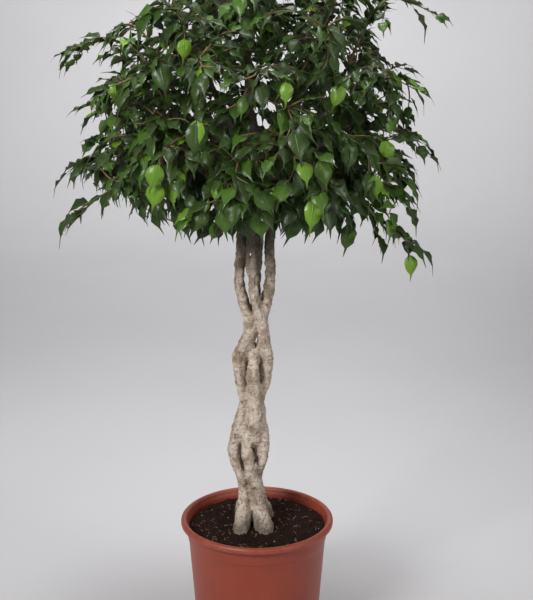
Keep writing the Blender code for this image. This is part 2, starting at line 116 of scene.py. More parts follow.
for name, place, aim, size, power, spread in SOFT_BOXES:
    bpy.ops.object.light_add(type="AREA", location=place)
    lamp = bpy.context.object
    lamp.name = name
    lamp.data.shape = "SQUARE"
    lamp.data.size = size
    lamp.data.energy = power
    lamp.data.spread = math.radians(spread)
    lamp.rotation_euler = (Vector(aim) - Vector(place)).to_track_quat("-Z", "Y").to_euler()
room = bpy.data.worlds.new("studio room")
room.use_nodes = True
glow = room.node_tree.nodes["Background"]
glow.inputs["Color"].default_value = (*ROOM_LIGHT, 1)
glow.inputs["Strength"].default_value = ROOM_STRENGTH
bpy.context.scene.world = room

# Backdrop: a pale painted studio floor that sweeps up into the wall all round with no edge.
# It is one turned sheet, far enough out to stand behind the plant from every side.
PAPER_GREY = (0.500, 0.494, 0.503)
FLOOR_RADIUS = 3.2
SWEEP_RADIUS = 1.5
SWEEP_STEPS = 12
WALL_TOP = 4.6
BACKDROP_SIDES = 96


class Value:
    """One output of a shader node. Sums on it are written as in Python, and each adds its Math node."""

    def __init__(self, finish, socket):
        self.finish = finish
        self.socket = socket

    def math(self, operation, *values):
        return self.finish.node("ShaderNodeMath", {"operation": operation}, dict(enumerate(values)))

    def __add__(self, other):
        return self.math("ADD", self, other)

    def __sub__(self, other):
        return self.math("SUBTRACT", self, other)

    def __rsub__(self, other):
        return self.math("SUBTRACT", other, self)

    def __mul__(self, other):
        return self.math("MULTIPLY", self, other)

    __radd__ = __add__
    __rmul__ = __mul__

    def over(self, low, high):
        """Nought below the low value, one above the high one, and smooth between them."""
        settings = {"interpolation_type": "SMOOTHSTEP"}
        sockets = {"Value": self, "From Min": low, "From Max": high}
        return self.finish.node("ShaderNodeMapRange", settings, sockets)

    def part(self, axis):
        """One of the three numbers of a place."""
        return self.finish.node("ShaderNodeSeparateXYZ", None, {"Vector": self}, axis)


class Finish:
    """A material and its nodes."""

    def __init__(self, name, roughness, **uniform):
        self.material = bpy.data.materials.new(name)
        self.material.use_nodes = True
        self.nodes = self.material.node_tree.nodes
        self.links = self.material.node_tree.links
        self.shader = self.nodes["Principled BSDF"]
        self.shader.inputs["Roughness"].default_value = roughness
        for socket, value in uniform.items():
            self.shader.inputs[socket.replace("_", " ")].default_value = value

    def node(self, kind, settings=None, sockets=None, output=None):
        """Adds a node: first its settings, then the values or links of its sockets."""
        made = self.nodes.new(kind)
        for setting, value in (settings or {}).items():
            setattr(made, setting, value)
        for key, value in (sockets or {}).items():
            if isinstance(key, str):
                socket = next(s for s in made.inputs if s.name == key and s.enabled)
            else:
                socket = made.inputs[key]
            self.feed(socket, value)
        found = made.outputs[output] if output else next(s for s in made.outputs if s.enabled)
        return Value(self, found)

    def feed(self, socket, value):
        if isinstance(value, Value):
            self.links.new(value.socket, socket)
        elif socket.type == "RGBA":
            socket.default_value = (*value, 1)
        else:
            socket.default_value = value

    def place(self, scale=(1, 1, 1)):
        """Where a point of the piece is, in metres, stretched by the scale."""
        spot = self.node("ShaderNodeTexCoord", output="Object")
        return self.node("ShaderNodeMapping", None, {"Vector": spot, "Scale": scale})

    def attribute(self, name):
        return self.node("ShaderNodeAttribute", {"attribute_name": name}, None, "Vector")

    def noise(self, vector, scale, detail=3.0, roughness=0.55):
        sockets = {"Vector": vector, "Scale": scale, "Detail": detail, "Roughness": roughness}
        return self.node("ShaderNodeTexNoise", None, sockets)

    def mix(self, share, under, over):
        sockets = {"Factor": share, "A": under, "B": over}
        return self.node("ShaderNodeMix", {"data_type": "RGBA"}, sockets)

    def colour(self, body, *layers):
        """The body's colour, with other colours laid over it in turn, each by its share."""
        for share, tone in layers:
            body = self.mix(share, body, tone)
        self.feed(self.shader.inputs["Base Color"], body)

    def roughness(self, value):
        self.feed(self.shader.inputs["Roughness"], value)

    def bump(self, height, distance):
        sockets = {"Strength": 1.0, "Distance": distance, "Height": height}
        self.feed(self.shader.inputs["Normal"], self.node("ShaderNodeBump", None, sockets))


def tint(colour, share):
    return tuple(tone * share for tone in colour)


def arc(centre, radius, start_deg, end_deg, steps):
    """Points of an arc in the profile plane, as (r, z)."""
    turns = [math.radians(start_deg + (end_deg - start_deg) * i / steps) for i in range(steps + 1)]
    return [(centre[0] + radius * math.cos(turn), centre[1] + radius * math.sin(turn)) for turn in turns]


def deselect_all():
    bpy.ops.object.select_all(action="DESELECT")


def pick_corners(piece, rule):
    """Goes into edit mode with just the corners selected that the rule is true of."""
    bpy.ops.object.mode_set(mode="EDIT")
    bpy.ops.mesh.select_mode(type="VERT")
    bpy.ops.mesh.select_all(action="DESELECT")
    bpy.ops.object.mode_set(mode="OBJECT")
    for corner in piece.data.vertices:
        corner.select = rule(corner)
    bpy.ops.object.mode_set(mode="EDIT")


def turn_up(name, rings, sides):
    """Raises a shell ring by ring, as on a wheel, from their radii and heights, and closes its ends."""
    deselect_all()
    radius, height = rings[0]
    bpy.ops.mesh.primitive_circle_add(vertices=sides, radius=radius, location=(0, 0, height))
    shell = bpy.context.object
    shell.name = name
    bpy.ops.object.transform_apply(location=True)
    bpy.ops.object.mode_set(mode="EDIT")
    bpy.ops.mesh.edge_face_add()
    bpy.ops.mesh.select_all(action="SELECT")
    for next_radius, next_height in rings[1:]:
        rise = {"value": (0, 0, next_height - height)}
        bpy.ops.mesh.extrude_region_move(TRANSFORM_OT_translate=rise)
        share = next_radius / radius
        bpy.ops.transform.resize(value=(share, share, 1), center_override=(0, 0, next_height))
        radius, height = next_radius, next_height
    bpy.ops.mesh.select_all(action="SELECT")
    bpy.ops.mesh.normals_make_consistent(inside=False)
    bpy.ops.object.mode_set(mode="OBJECT")
    bpy.ops.object.shade_smooth()
    return shell


def finish_piece(piece, finish, slot, *nodes):
    """Gives a piece its material, sets it on the plant's one body and hides the parts that it stands in for.
    """
    piece.data.materials.clear()
    piece.data.materials.append(finish.material)
    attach(piece, "root")
    if nodes:
        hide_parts(*nodes)


sweep = [(0.4, 0.0), (1.6, 0.0)]
sweep += arc((FLOOR_RADIUS, SWEEP_RADIUS), SWEEP_RADIUS, -90, 0, SWEEP_STEPS)
sweep.append((FLOOR_RADIUS + SWEEP_RADIUS, WALL_TOP))
backdrop = turn_up("studio_backdrop", sweep, BACKDROP_SIDES)
pick_corners(backdrop, lambda corner: corner.co.z > WALL_TOP - 0.01)
bpy.ops.mesh.delete(type="ONLY_FACE")
bpy.ops.mesh.select_all(action="SELECT")
bpy.ops.mesh.normals_make_consistent(inside=True)
bpy.ops.object.mode_set(mode="OBJECT")
paper = Finish("studio paint", 0.9)
shade = paper.noise(paper.place(), 1.3, 2.0)
paper.colour(PAPER_GREY, (shade.over(0.35, 0.65), tint(PAPER_GREY, 0.97)))
backdrop.data.materials.append(paper.material)
backdrop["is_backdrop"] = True

# Pot: a 30 cm terracotta-coloured nursery pot, moulded in one from thin polypropylene.
# Its wall tapers, steps out to a collar band and ends in a thick rolled rim. Its floor has six drain holes.
POT_HEIGHT = 0.250
POT_RIM_RADIUS = 0.150
POT_RIM_WIDTH = 0.0125
POT_RIM_HEIGHT = 0.0125
POT_RIM_CORNER = 0.0028
POT_COLLAR_Z = 0.2075
POT_COLLAR_STEP = 0.0015
POT_NECK_RADIUS = 0.1388
POT_BASE_RADIUS = 0.1205
POT_BASE_CORNER = 0.004
POT_WALL = 0.0028
POT_WALL_ROWS = 8
POT_MIDDLE = 0.003
POT_FLOOR_RING = 0.05
POT_SIDES = 128
DRAIN_HOLES = 6
DRAIN_RADIUS = 0.006
DRAIN_CIRCLE = 0.078
DRAIN_TURN = 0.37
DRAIN_SIDES = 20
CREASE_ANGLE = 34
TERRACOTTA = (0.300, 0.052, 0.026)
# Paler, worn plastic, also laid on the rim as a painted highlight
TERRACOTTA_WEAR_AND_HIGHLIGHT = (0.400, 0.120, 0.080)
POT_DUST = (0.36, 0.22, 0.16)


def pot_outer_radius(z):
    """The plain wall tapers evenly from the neck to the base."""
    return POT_BASE_RADIUS + (POT_NECK_RADIUS - POT_BASE_RADIUS) * z / (POT_HEIGHT - POT_RIM_HEIGHT)


def pot_inner_radius(z):
    return pot_outer_radius(z) - POT_COLLAR_STEP - POT_WALL


def select_only(piece):
    deselect_all()
    piece.select_set(True)
    bpy.context.view_layer.objects.active = piece


def apply_modifier(piece, kind, **settings):
    """Adds a modifier, sets it and applies it."""
    bpy.context.view_layer.objects.active = piece
    bpy.ops.object.modifier_add(type=kind)
    for setting, value in settings.items():
        setattr(piece.modifiers[-1], setting, value)
    bpy.ops.object.modifier_apply(modifier=piece.modifiers[-1].name)


rim_foot = POT_HEIGHT - POT_RIM_HEIGHT
roll = POT_RIM_WIDTH / 2
base_edge = pot_outer_radius(POT_BASE_CORNER) - POT_COLLAR_STEP
wall_rise = POT_COLLAR_Z - 0.0012 - POT_BASE_CORNER
lower_wall = [POT_BASE_CORNER + wall_rise * i / POT_WALL_ROWS for i in range(POT_WALL_ROWS + 1)]
pot_rings = [(POT_MIDDLE, 0.0), (POT_FLOOR_RING, 0.0), (base_edge - POT_BASE_CORNER - 0.001, 0.0)]
pot_rings += arc((base_edge - POT_BASE_CORNER, POT_BASE_CORNER), POT_BASE_CORNER, -84, -12, 4)
pot_rings += [(pot_outer_radius(z) - POT_COLLAR_STEP, z) for z in lower_wall]
pot_rings += [
    (pot_outer_radius(POT_COLLAR_Z) - POT_COLLAR_STEP + 0.0003, POT_COLLAR_Z),
    (pot_outer_radius(POT_COLLAR_Z) - 0.0003, POT_COLLAR_Z + 0.0011),
    (pot_outer_radius(POT_COLLAR_Z), POT_COLLAR_Z + 0.0022),
    (pot_outer_radius(0.220), 0.220),
    (pot_outer_radius(0.232), 0.232),
    (POT_NECK_RADIUS, rim_foot - 0.0012),
    (POT_NECK_RADIUS + 0.0008, rim_foot),
    (POT_RIM_RADIUS - POT_RIM_CORNER, rim_foot),
]
rim_low = (POT_RIM_RADIUS - POT_RIM_CORNER, rim_foot + POT_RIM_CORNER)
pot_rings += arc(rim_low, POT_RIM_CORNER, -72, -10, 4)
pot_rings += arc((POT_RIM_RADIUS - roll, POT_HEIGHT - roll), roll, 0, 180, 14)
pot_rings += [
    (pot_inner_radius(rim_foot) + 0.0012, rim_foot + 0.0030),
    (pot_inner_radius(rim_foot) + 0.0002, rim_foot - 0.0006),
]
for i in range(POT_WALL_ROWS + 1):
    z = rim_foot - 0.006 - (rim_foot - 0.014) * i / POT_WALL_ROWS
    pot_rings.append((pot_inner_radius(z), z))
inner_corner = pot_inner_radius(POT_WALL) - POT_BASE_CORNER
pot_rings += arc((inner_corner, POT_WALL + POT_BASE_CORNER), POT_BASE_CORNER, -12, -84, 4)
pot_rings += [(inner_corner - 0.002, POT_WALL), (POT_FLOOR_RING, POT_WALL), (POT_MIDDLE, POT_WALL)]
pot = turn_up("nursery_pot_shell", pot_rings, POT_SIDES)

for i in range(DRAIN_HOLES):
    turn = math.tau * (i + DRAIN_TURN) / DRAIN_HOLES
    spot = (DRAIN_CIRCLE * math.cos(turn), DRAIN_CIRCLE * math.sin(turn), POT_WALL / 2)
    deselect_all()
    bpy.ops.mesh.primitive_cylinder_add(
        vertices=DRAIN_SIDES, radius=DRAIN_RADIUS, depth=POT_WALL * 3, location=spot
    )
    drill = bpy.context.object
    apply_modifier(pot, "BOOLEAN", object=drill, solver="EXACT")
    bpy.data.objects.remove(drill)
select_only(pot)
bpy.ops.object.shade_smooth_by_angle(angle=math.radians(CREASE_ANGLE))

plastic = Finish("moulded terracotta plastic", 0.42)
spot = plastic.place()
height = spot.part("Z")
blotch = plastic.noise(spot, 14, 4.0)
streak = plastic.noise(plastic.place((60, 60, 3)), 1.0, 3.0)
grain = plastic.noise(spot, 900, 2.0)
scuff = plastic.noise(plastic.place((90, 90, 420)), 1.0, 3.0).over(0.63, 0.70)
dust = plastic.noise(spot, 55, 5.0).over(0.46, 0.70) * (1 - height.over(0.004, 0.07))
# The rim is paler in patches: rubbed wear and a painted highlight on the rolled lip
rim_wear_and_highlight = height.over(0.236, 0.2375) * plastic.noise(spot, 120, 3.0).over(0.42, 0.66)
plastic.colour(
    TERRACOTTA,
    (blotch.over(0.3, 0.7), tint(TERRACOTTA, 1.10)),
    (streak.over(0.52, 0.72) * 0.25, TERRACOTTA_WEAR_AND_HIGHLIGHT),
    # Painted highlight and wear on the rim
    (rim_wear_and_highlight * 0.30, TERRACOTTA_WEAR_AND_HIGHLIGHT),
    (scuff * 0.14, TERRACOTTA_WEAR_AND_HIGHLIGHT),
    (dust * 0.35, POT_DUST),
)
plastic.roughness(0.36 + blotch * 0.10 + dust * 0.3 + scuff * 0.12)
plastic.bump(grain * 0.5 + streak * 0.35 + scuff * 0.2, 0.0002)
finish_piece(pot, plastic, "pot_plastic", "nursery_pot")

# Soil: dark peat potting mix, loose on top, a little higher round the trunk, with crumbs, bark chips,
# straw-coloured fibres and a few white grains. It lies in the pot round the feet of the four stems.
SOIL_EDGE_Z = 0.2310
SOIL_FOOT_Z = 0.0031
SOIL_MOUND = 0.0045
SOIL_GAP = 0.0005
SOIL_RINGS = 60
SOIL_SIDES = 180
SOIL_ROUGHNESS = (
    ("hollows", "CLOUDS", 0.030, 0.0070),
    ("lumps", "CLOUDS", 0.008, 0.0055),
    ("crumb", "CLOUDS", 0.0032, 0.0030),
)
SOIL_SEED = 5
PEAT = (0.012, 0.0065, 0.0045)
PEAT_RED = (0.044, 0.019, 0.011)
CHIP_BROWN = (0.30, 0.17, 0.10)
FIBRE_STRAW = (0.42, 0.30, 0.19)
GRAIN_WHITE = (0.66, 0.62, 0.55)


def roughen(piece, group, direction, layers):
    """Pushes a group of corners in and out by patterns, each with a name, kind, size and strength."""
    for name, kind, size, strength in layers:
        pattern = bpy.data.textures.new(name, kind)
        pattern.noise_scale = size
        apply_modifier(
            piece, "DISPLACE", texture=pattern, texture_coords="LOCAL", direction=direction,
            mid_level=0.5, strength=strength, vertex_group=group,
        )
    piece.vertex_groups.clear()


soil_edge = pot_inner_radius(SOIL_EDGE_Z) - SOIL_GAP
soil_foot = pot_inner_radius(POT_WALL) - POT_BASE_CORNER - SOIL_GAP
soil_rings = [(POT_MIDDLE, SOIL_FOOT_Z), (soil_foot, SOIL_FOOT_Z)]
soil_rings += [(pot_inner_radius(z) - SOIL_GAP, z) for z in (0.008, 0.08, 0.15, 0.215, SOIL_EDGE_Z - 0.002)]
for i in range(SOIL_RINGS):
    share = 1 - i / SOIL_RINGS
    soil_rings.append((soil_edge * share, SOIL_EDGE_Z + SOIL_MOUND * (1 - share * share)))
soil = turn_up("peat_potting_soil", soil_rings, SOIL_SIDES)
top_soil = soil.vertex_groups.new(name="top")
top_soil.add([v.index for v in soil.data.vertices if v.co.z > SOIL_EDGE_Z - 0.001], 1.0, "REPLACE")
roughen(soil, "top", "Z", SOIL_ROUGHNESS)


def lump(name, size, tone, jolt, seed):
    """One crumb, chip or fibre: a small ball or bar, squeezed to its size and knocked out of true."""
    deselect_all()
    bpy.ops.mesh.primitive_ico_sphere_add(subdivisions=1, radius=0.5)
    made = bpy.context.object
    made.name = name
    bpy.ops.object.mode_set(mode="EDIT")
    bpy.ops.transform.vertex_random(offset=jolt, seed=seed)
    bpy.ops.transform.resize(value=size, center_override=(0, 0, 0))
    bpy.ops.object.mode_set(mode="OBJECT")
    look = made.data.attributes.new("litter", "FLOAT_VECTOR", "POINT")
    look.data.foreach_set("vector", tone * len(made.data.vertices))
    return made


def join_pieces(whole, parts):
    """Joins the parts into the whole, which keeps its name."""
    select_only(whole)
    for part in parts:
        part.select_set(True)
    bpy.ops.object.join()


# Litter on the soil: size, what it is made of (bark, straw or mineral) and how many
LITTER = (
    ("crumb", (0.0052, 0.0042, 0.0034), [0.0, 0.0, 0.0], 620),
    ("clod", (0.0095, 0.0078, 0.0055), [0.0, 0.0, 0.0], 110),
    ("chip", (0.0095, 0.0040, 0.0018), [1.0, 0.0, 0.0], 110),
    ("fibre", (0.0130, 0.0007, 0.0006), [0.0, 1.0, 0.0], 70),
    ("grain", (0.0028, 0.0024, 0.0020), [0.0, 0.0, 1.0], 14),
)
LITTER_KINDS = 3
LITTER_JOLT = 0.16
LITTER_MARGIN = 0.004
LITTER_TILT = 0.35
LITTER_SCALE = (0.55, 1.25)
LITTER_SINK = 0.0006
ABOVE_POT = 0.30
dice = random.Random(SOIL_SEED)
litter = []
soil.data.attributes.new("litter", "FLOAT_VECTOR", "POINT")
for name, size, tone, count in LITTER:
    kinds = [lump(f"{name} {k}", size, tone, LITTER_JOLT, SOIL_SEED + k) for k in range(LITTER_KINDS)]
    for i in range(count):
        reach = (soil_edge - LITTER_MARGIN) * math.sqrt(dice.random())
        turn = dice.uniform(0, math.tau)
        start = Vector((reach * math.cos(turn), reach * math.sin(turn), ABOVE_POT))
        _, spot, facing, _ = soil.ray_cast(start, Vector((0, 0, -1)))
        piece = kinds[i % LITTER_KINDS].copy()
        piece.data = piece.data.copy()
        bpy.context.scene.collection.objects.link(piece)
        lie = facing.to_track_quat("Z", "Y").to_matrix().to_4x4()
        lie = lie @ Matrix.Rotation(dice.uniform(0, math.tau), 4, "Z")
        lie = lie @ Matrix.Rotation(dice.uniform(-LITTER_TILT, LITTER_TILT), 4, "Y")
        scale = dice.uniform(*LITTER_SCALE)
        sink = Vector((0, 0, dice.uniform(-LITTER_SINK, LITTER_SINK)))
        piece.data.transform(Matrix.Translation(spot + sink) @ lie @ Matrix.Scale(scale, 4))
        litter.append(piece)
    for kind in kinds:
        bpy.data.objects.remove(kind)
join_pieces(soil, litter)

peat = Finish("peat potting mix", 0.95, Specular_IOR_Level=0.15)
spot = peat.place()
kind = peat.attribute("litter")
chip, fibre, grain_white = (kind.part(axis) for axis in "XYZ")
crumbly = peat.noise(spot, 420, 5.0, 0.7)
damp = peat.noise(spot, 26, 3.0)
flecks = peat.noise(peat.place((700, 260, 500)), 1.0, 2.0).over(0.70, 0.78)
peat.colour(
    PEAT,
    (crumbly.over(0.35, 0.72), PEAT_RED),
    (damp.over(0.45, 0.65) * 0.5, PEAT),
    (flecks * 0.55, CHIP_BROWN),
    (chip, peat.mix(crumbly, CHIP_BROWN, PEAT_RED)),
    (fibre, peat.mix(crumbly, FIBRE_STRAW, CHIP_BROWN)),
    (grain_white, GRAIN_WHITE),
)
peat.bump(crumbly, 0.0016)
finish_piece(soil, peat, "soil", "potting_soil")

# Trunk: four young stems plaited together while green, which have since grown fat and run into each other,
# so that they stand apart only at the bulges. Nine limbs leave its top and fork inside the crown.
# Height, then each stem's place across, place in depth and radius, in millimetres
BRAID = (
    (160, (-34, -30, 15), (18, -28, 16), (12, 30, 14), (-32, 28, 14)),
    (236, (-30, -25, 19.5), (14, -23, 22.5), (7, 23, 19), (-26, 21, 19)),
    (274, (-24, -17, 15.5), (0, -16, 17), (1, 16, 16), (-21, 15, 15)),
    (326, (-25.5, -8, 13.5), (-6.5, -14, 15), (-4, 12, 14.5), (-20, 14, 13)),
    (386, (-43, 0, 16), (-13, -26, 11), (10, 0, 15.5), (-12, 24, 15)),
    (426, (-36.5, 3, 14.5), (-24, -12, 13), (8, 6, 14.5), (-4, -12, 15.5)),
    (488, (-21.5, 4, 12), (-15, 13, 12.5), (0, 11, 12.5), (-4, -10, 15.5)),
    (562, (-31.5, 0, 15.5), (-10, 25, 14), (16.5, 3, 15), (-6, -20, 14.5)),
    (604, (-23.5, -6, 14), (-10, 17, 12.5), (15.5, -4, 13.5), (-1, 1, 12.5)),
    (642, (-13.5, -9, 12.5), (-10, 11, 11.5), (8, -9, 12.5), (7, 10, 12)),
    (690, (-23.5, -4, 12), (-2, 17, 11), (2, -16, 11), (18, 5, 13)),
    (738, (-32.5, -2, 12), (0, 20, 10), (-7.5, -20, 9.5), (26.5, 0, 12)),
    (800, (-27, 1, 13), (4, 17, 11), (-11, -17, 11), (24, 0, 12.5)),
    (850, (-31, 4, 9.5), (3, 20, 9.2), (-6, -20, 9.2), (29, 2, 9.5)),
)
# The stem that each limb leaves, its direction in degrees, its reach and its top
LIMBS = (
    (0, 183.0, 0.175, 1.120),
    (0, 228.0, 0.150, 1.150),
    (1, 92.0, 0.165, 1.130),
    (1, 138.0, 0.150, 1.190),
    (2, 272.0, 0.150, 1.110),
    (2, 250.0, 0.030, 1.290),
    (3, 2.0, 0.175, 1.130),
    (3, 45.0, 0.150, 1.170),
    (3, 318.0, 0.150, 1.160),
)
LIMB_START_Z = 0.838
LIMB_ROOT_RADIUS = 0.0086
LIMB_TIP_RADIUS = 0.0036
LIMB_WAVE = 0.007
CROWN_AXIS = Vector((-0.012, 0.0, 0.0))
UP = Vector((0.0, 0.0, 1.0))
STEM_STEP = 0.008
STEM_COARSE_STEP = 0.028
WOOD_SIDES = 16
BARK_PALE = (0.720, 0.610, 0.500)
BARK_BEIGE = (0.350, 0.262, 0.185)
BARK_PIT = (0.085, 0.052, 0.030)
BARK_GREEN = (0.085, 0.098, 0.036)
# Dark brown: soil on the feet, and painted shade on the top of the trunk under the crown
BARK_SOIL_AND_SHADE = (0.070, 0.056, 0.032)


def hermite(start, end, slope_start, slope_end, t):
    return (
        (2 * t**3 - 3 * t**2 + 1) * start
        + (t**3 - 2 * t**2 + t) * slope_start
        + (3 * t**2 - 2 * t**3) * end
        + (t**3 - t**2) * slope_end
    )


def metres(values):
    return [value / 1000 for value in values]


def four_round(rows, i):
    """The rows before and at a place, and the two after it, held at the ends."""
    return (rows[min(max(i + k, 0), len(rows) - 1)] for k in (-1, 0, 1, 2))


def stem_points(stem, step):
    """The smooth route of one plaited stem, and its radius along it."""
    knots = [(row[0] / 1000, metres(row[1 + stem])) for row in BRAID]
    points, radii = [], []
    for i in range(len(knots) - 1):
        before, here, there, after = four_round(knots, i)
        span = there[0] - here[0]
        steps = max(1, round(span / step))
        for j in range(steps):
            t = j / steps
            values = []
            for k in range(3):
                slope_here = (there[1][k] - before[1][k]) / max(there[0] - before[0], 1e-6) * span
                slope_there = (after[1][k] - here[1][k]) / max(after[0] - here[0], 1e-6) * span
                values.append(hermite(here[1][k], there[1][k], slope_here, slope_there, t))
            points.append(Vector((values[0], values[1], here[0] + span * t)))
            radii.append(values[2])
    top = knots[-1]
    points.append(Vector((top[1][0], top[1][1], top[0])))
    radii.append(top[1][2])
    return points, radii


def bezier(knots, t):
    a, b, c, d = knots
    s = 1 - t
    return a * s**3 + b * (3 * s * s * t) + c * (3 * s * t * t) + d * t**3


def way_at(turn):
    return Vector((math.cos(turn), math.sin(turn), 0.0))


def level(way):
    """The way along the ground."""
    return (way * Vector((1.0, 1.0, 0.0))).normalized()


def limb_curve(limb):
    """The four knots of a limb: up out of its stem, then outwards into the crown."""
    stem, compass, reach, top = limb
    route, _ = stem_points(stem, STEM_COARSE_STEP)
    start = min(route, key=lambda p: abs(p.z - LIMB_START_Z))
    out = way_at(math.radians(compass))
    end = CROWN_AXIS + out * reach + UP * top
    rise = top - start.z
    leave = start + UP * (0.45 * rise) + out * (0.10 * reach)
    arrive = end - UP * (0.35 * rise) - out * (0.25 * reach)
    return start, leave, arrive, end


def limb_point(knots, t):
    """A limb's curve with a slight wave, as it grew round earlier shoots."""
    side = (knots[3] - knots[0]).cross(UP).normalized()
    return bezier(knots, t) + side * (LIMB_WAVE * math.sin(math.tau * 1.2 * t + 40 * knots[3].x) * t)


def limb_radius(t):
    return LIMB_ROOT_RADIUS + (LIMB_TIP_RADIUS - LIMB_ROOT_RADIUS) * t


def grow_wood(name, shoots, sides):
    """Round tapering wood: one capped tube for each shoot, given by its points and their radii."""
    curve = bpy.data.curves.new(name, "CURVE")
    curve.dimensions = "3D"
    curve.bevel_depth = 1.0
    curve.bevel_resolution = (sides - 4) // 2
    curve.use_fill_caps = True
    for points, radii in shoots:
        spline = curve.splines.new("POLY")
        spline.points.add(len(points) - 1)
        for knot, place, radius in zip(spline.points, points, radii):
            knot.co = (*place, 1.0)
            knot.radius = radius
    wood = bpy.data.objects.new(name, curve)
    bpy.context.scene.collection.objects.link(wood)
    select_only(wood)
    bpy.ops.object.convert(target="MESH")
    wood = bpy.context.object
    bpy.ops.object.mode_set(mode="EDIT")
    bpy.ops.mesh.select_all(action="SELECT")
    bpy.ops.mesh.remove_doubles(threshold=0.00002)
    bpy.ops.mesh.normals_make_consistent(inside=False)
    bpy.ops.object.mode_set(mode="OBJECT")
    return wood


limbs = [limb_curve(limb) for limb in LIMBS]

# How each bough reaches its tip, worked out before the wood, because the limbs carry a collar for each.
# The long sprays hang past the dome, and the others share it out evenly.
CROWN_WIDEST_Z = 0.965
CROWN_RADIUS = 0.292
CROWN_RISE = 0.405
CROWN_FALL = 0.100
DOME_BOUGHS = 32
DOME_LOWEST = -0.42
DOME_SPAN = 1.40
DOME_TURN = 0.4
# The long sprays: direction in degrees, reach and height of the tip
SPRAYS = (
    (181.0, 0.331, 0.945),
    (199.0, 0.325, 0.890),
    (177.0, 0.318, 1.160),
    (163.0, 0.305, 1.040),
    (351.0, 0.315, 0.810),
    (4.0, 0.318, 0.995),
    (8.0, 0.296, 1.240),
    (348.0, 0.292, 1.110),
    (330.0, 0.310, 0.915),
    (262.0, 0.285, 0.945),
    (287.0, 0.300, 1.020),
    (240.0, 0.295, 1.010),
    (274.0, 0.270, 1.150),
    (224.0, 0.275, 1.130),
)
BOUGH_SEED = 11
BOUGH_POINTS = 6
BOUGH_STRAIGHT = 0.012
FORK_ASIDE = 0.82
FORK_ALONG = 0.57
BOUGH_HOLD = (0.32, 0.55)
END_REACH = 0.30
END_TURN = 0.45
BOUGH_LIFT = 0.45
DOME_FALL = 62.0
TOP_FALL = 22.0
SPRAY_FALL = 34.0
COLLAR_LENGTH = 0.0060
ROOT_SPACING = 0.024
BOUGH_CLEARANCE = 0.011
GAP = 0.0003


def dome_place(turn, height, depth):
    """A place in the dome: its turn, its height from -1 to 1, and its depth, which is 1 at the surface."""
    across = math.sqrt(1 - height * height)
    rise = CROWN_RISE if height > 0 else CROWN_FALL
    side = way_at(turn) * (CROWN_RADIUS * across * depth)
    return CROWN_AXIS + side + UP * (CROWN_WIDEST_Z + rise * height * depth)


def bough_tips():
    """Where the boughs end: the long sprays, then evenly over the dome by the golden angle."""
    tips = []
    for compass, reach, z in SPRAYS:
        tips.append((CROWN_AXIS + way_at(math.radians(compass)) * reach + UP * z, True))
    golden = math.pi * (3 - math.sqrt(5))
    for i in range(DOME_BOUGHS):
        height = DOME_LOWEST + DOME_SPAN * (i + 0.5) / DOME_BOUGHS
        tips.append((dome_place(i * golden + DOME_TURN, height, 1.0), False))
    return tips


def finder_of(places):
    finder = KDTree(len(places))
    for i, place in enumerate(places):
        finder.insert(place, i)
    finder.balance()
    return finder


def nearest_gap(route, obstacles):
    finder = finder_of(obstacles)
    return min(finder.find(place)[2] for place in route)


def curve_to(start, start_way, tip, end_way, hold):
    """Knots of a curve that leaves and arrives the given ways, and holds each for a share of the span."""
    span = (tip - start).length
    return start, start + start_way * (hold[0] * span), tip - end_way * (hold[1] * span), tip


def bough_course(limb, t, tip, spray):
    """A bough forks off its limb at an open angle, or carries on from its end, and hangs at its tip."""
    axis = limb_point(limb, t)
    limb_way = (axis - limb_point(limb, t - 0.03)).normalized()
    out = level(tip - axis)
    want = (tip - axis).normalized() + UP * BOUGH_LIFT
    aside = (want - limb_way * want.dot(limb_way)).normalized()
    start_way = (aside * FORK_ASIDE + limb_way * FORK_ALONG).normalized()
    collar = limb_radius(t) + COLLAR_LENGTH
    if t == 1.0:
        start_way, collar = limb_way, GAP
    height = max(0.0, (tip.z - CROWN_WIDEST_Z) / CROWN_RISE)
    fall = math.radians(SPRAY_FALL if spray else DOME_FALL + (TOP_FALL - DOME_FALL) * height)
    end_way = out * math.cos(fall) - UP * math.sin(fall)
    root = axis + start_way * collar
    knots = curve_to(root + start_way * BOUGH_STRAIGHT, start_way, tip, end_way, BOUGH_HOLD)
    return {"axis": axis, "way": start_way, "collar": collar, "root": root, "knots": knots}


def course_points(course, steps):
    """The bough's root, then points evenly along its curve."""
    return [course["root"]] + [bezier(course["knots"], i / steps) for i in range(steps + 1)]


def fine_points(route):
    """The route with three points between each pair of its own."""
    return [a.lerp(b, k / 4) for a, b in zip(route, route[1:]) for k in range(4)] + [route[-1]]


def root_choices(limbs, tip):
    """Where on the limbs a bough to this tip can start: at an open end, or else the most direct first."""
    choices = []
    for limb in limbs:
        for step in range(4, 40):
            axis = limb_point(limb, step / 40)
            climb = tip.z - axis.z
            cost = (tip - axis).length + 2.0 * max(0.0, 0.04 - climb) + 0.6 * max(0.0, climb - 0.14)
            choices.append((cost, len(choices), limb, step / 40))
        axis = limb_point(limb, 1.0)
        way = (axis - limb_point(limb, 0.9)).normalized()
        reach = tip - axis
        if reach.length < END_REACH and reach.normalized().dot(way) > END_TURN:
            choices.append((0.0, len(choices), limb, 1.0))
    return sorted(choices, key=lambda choice: choice[:2])


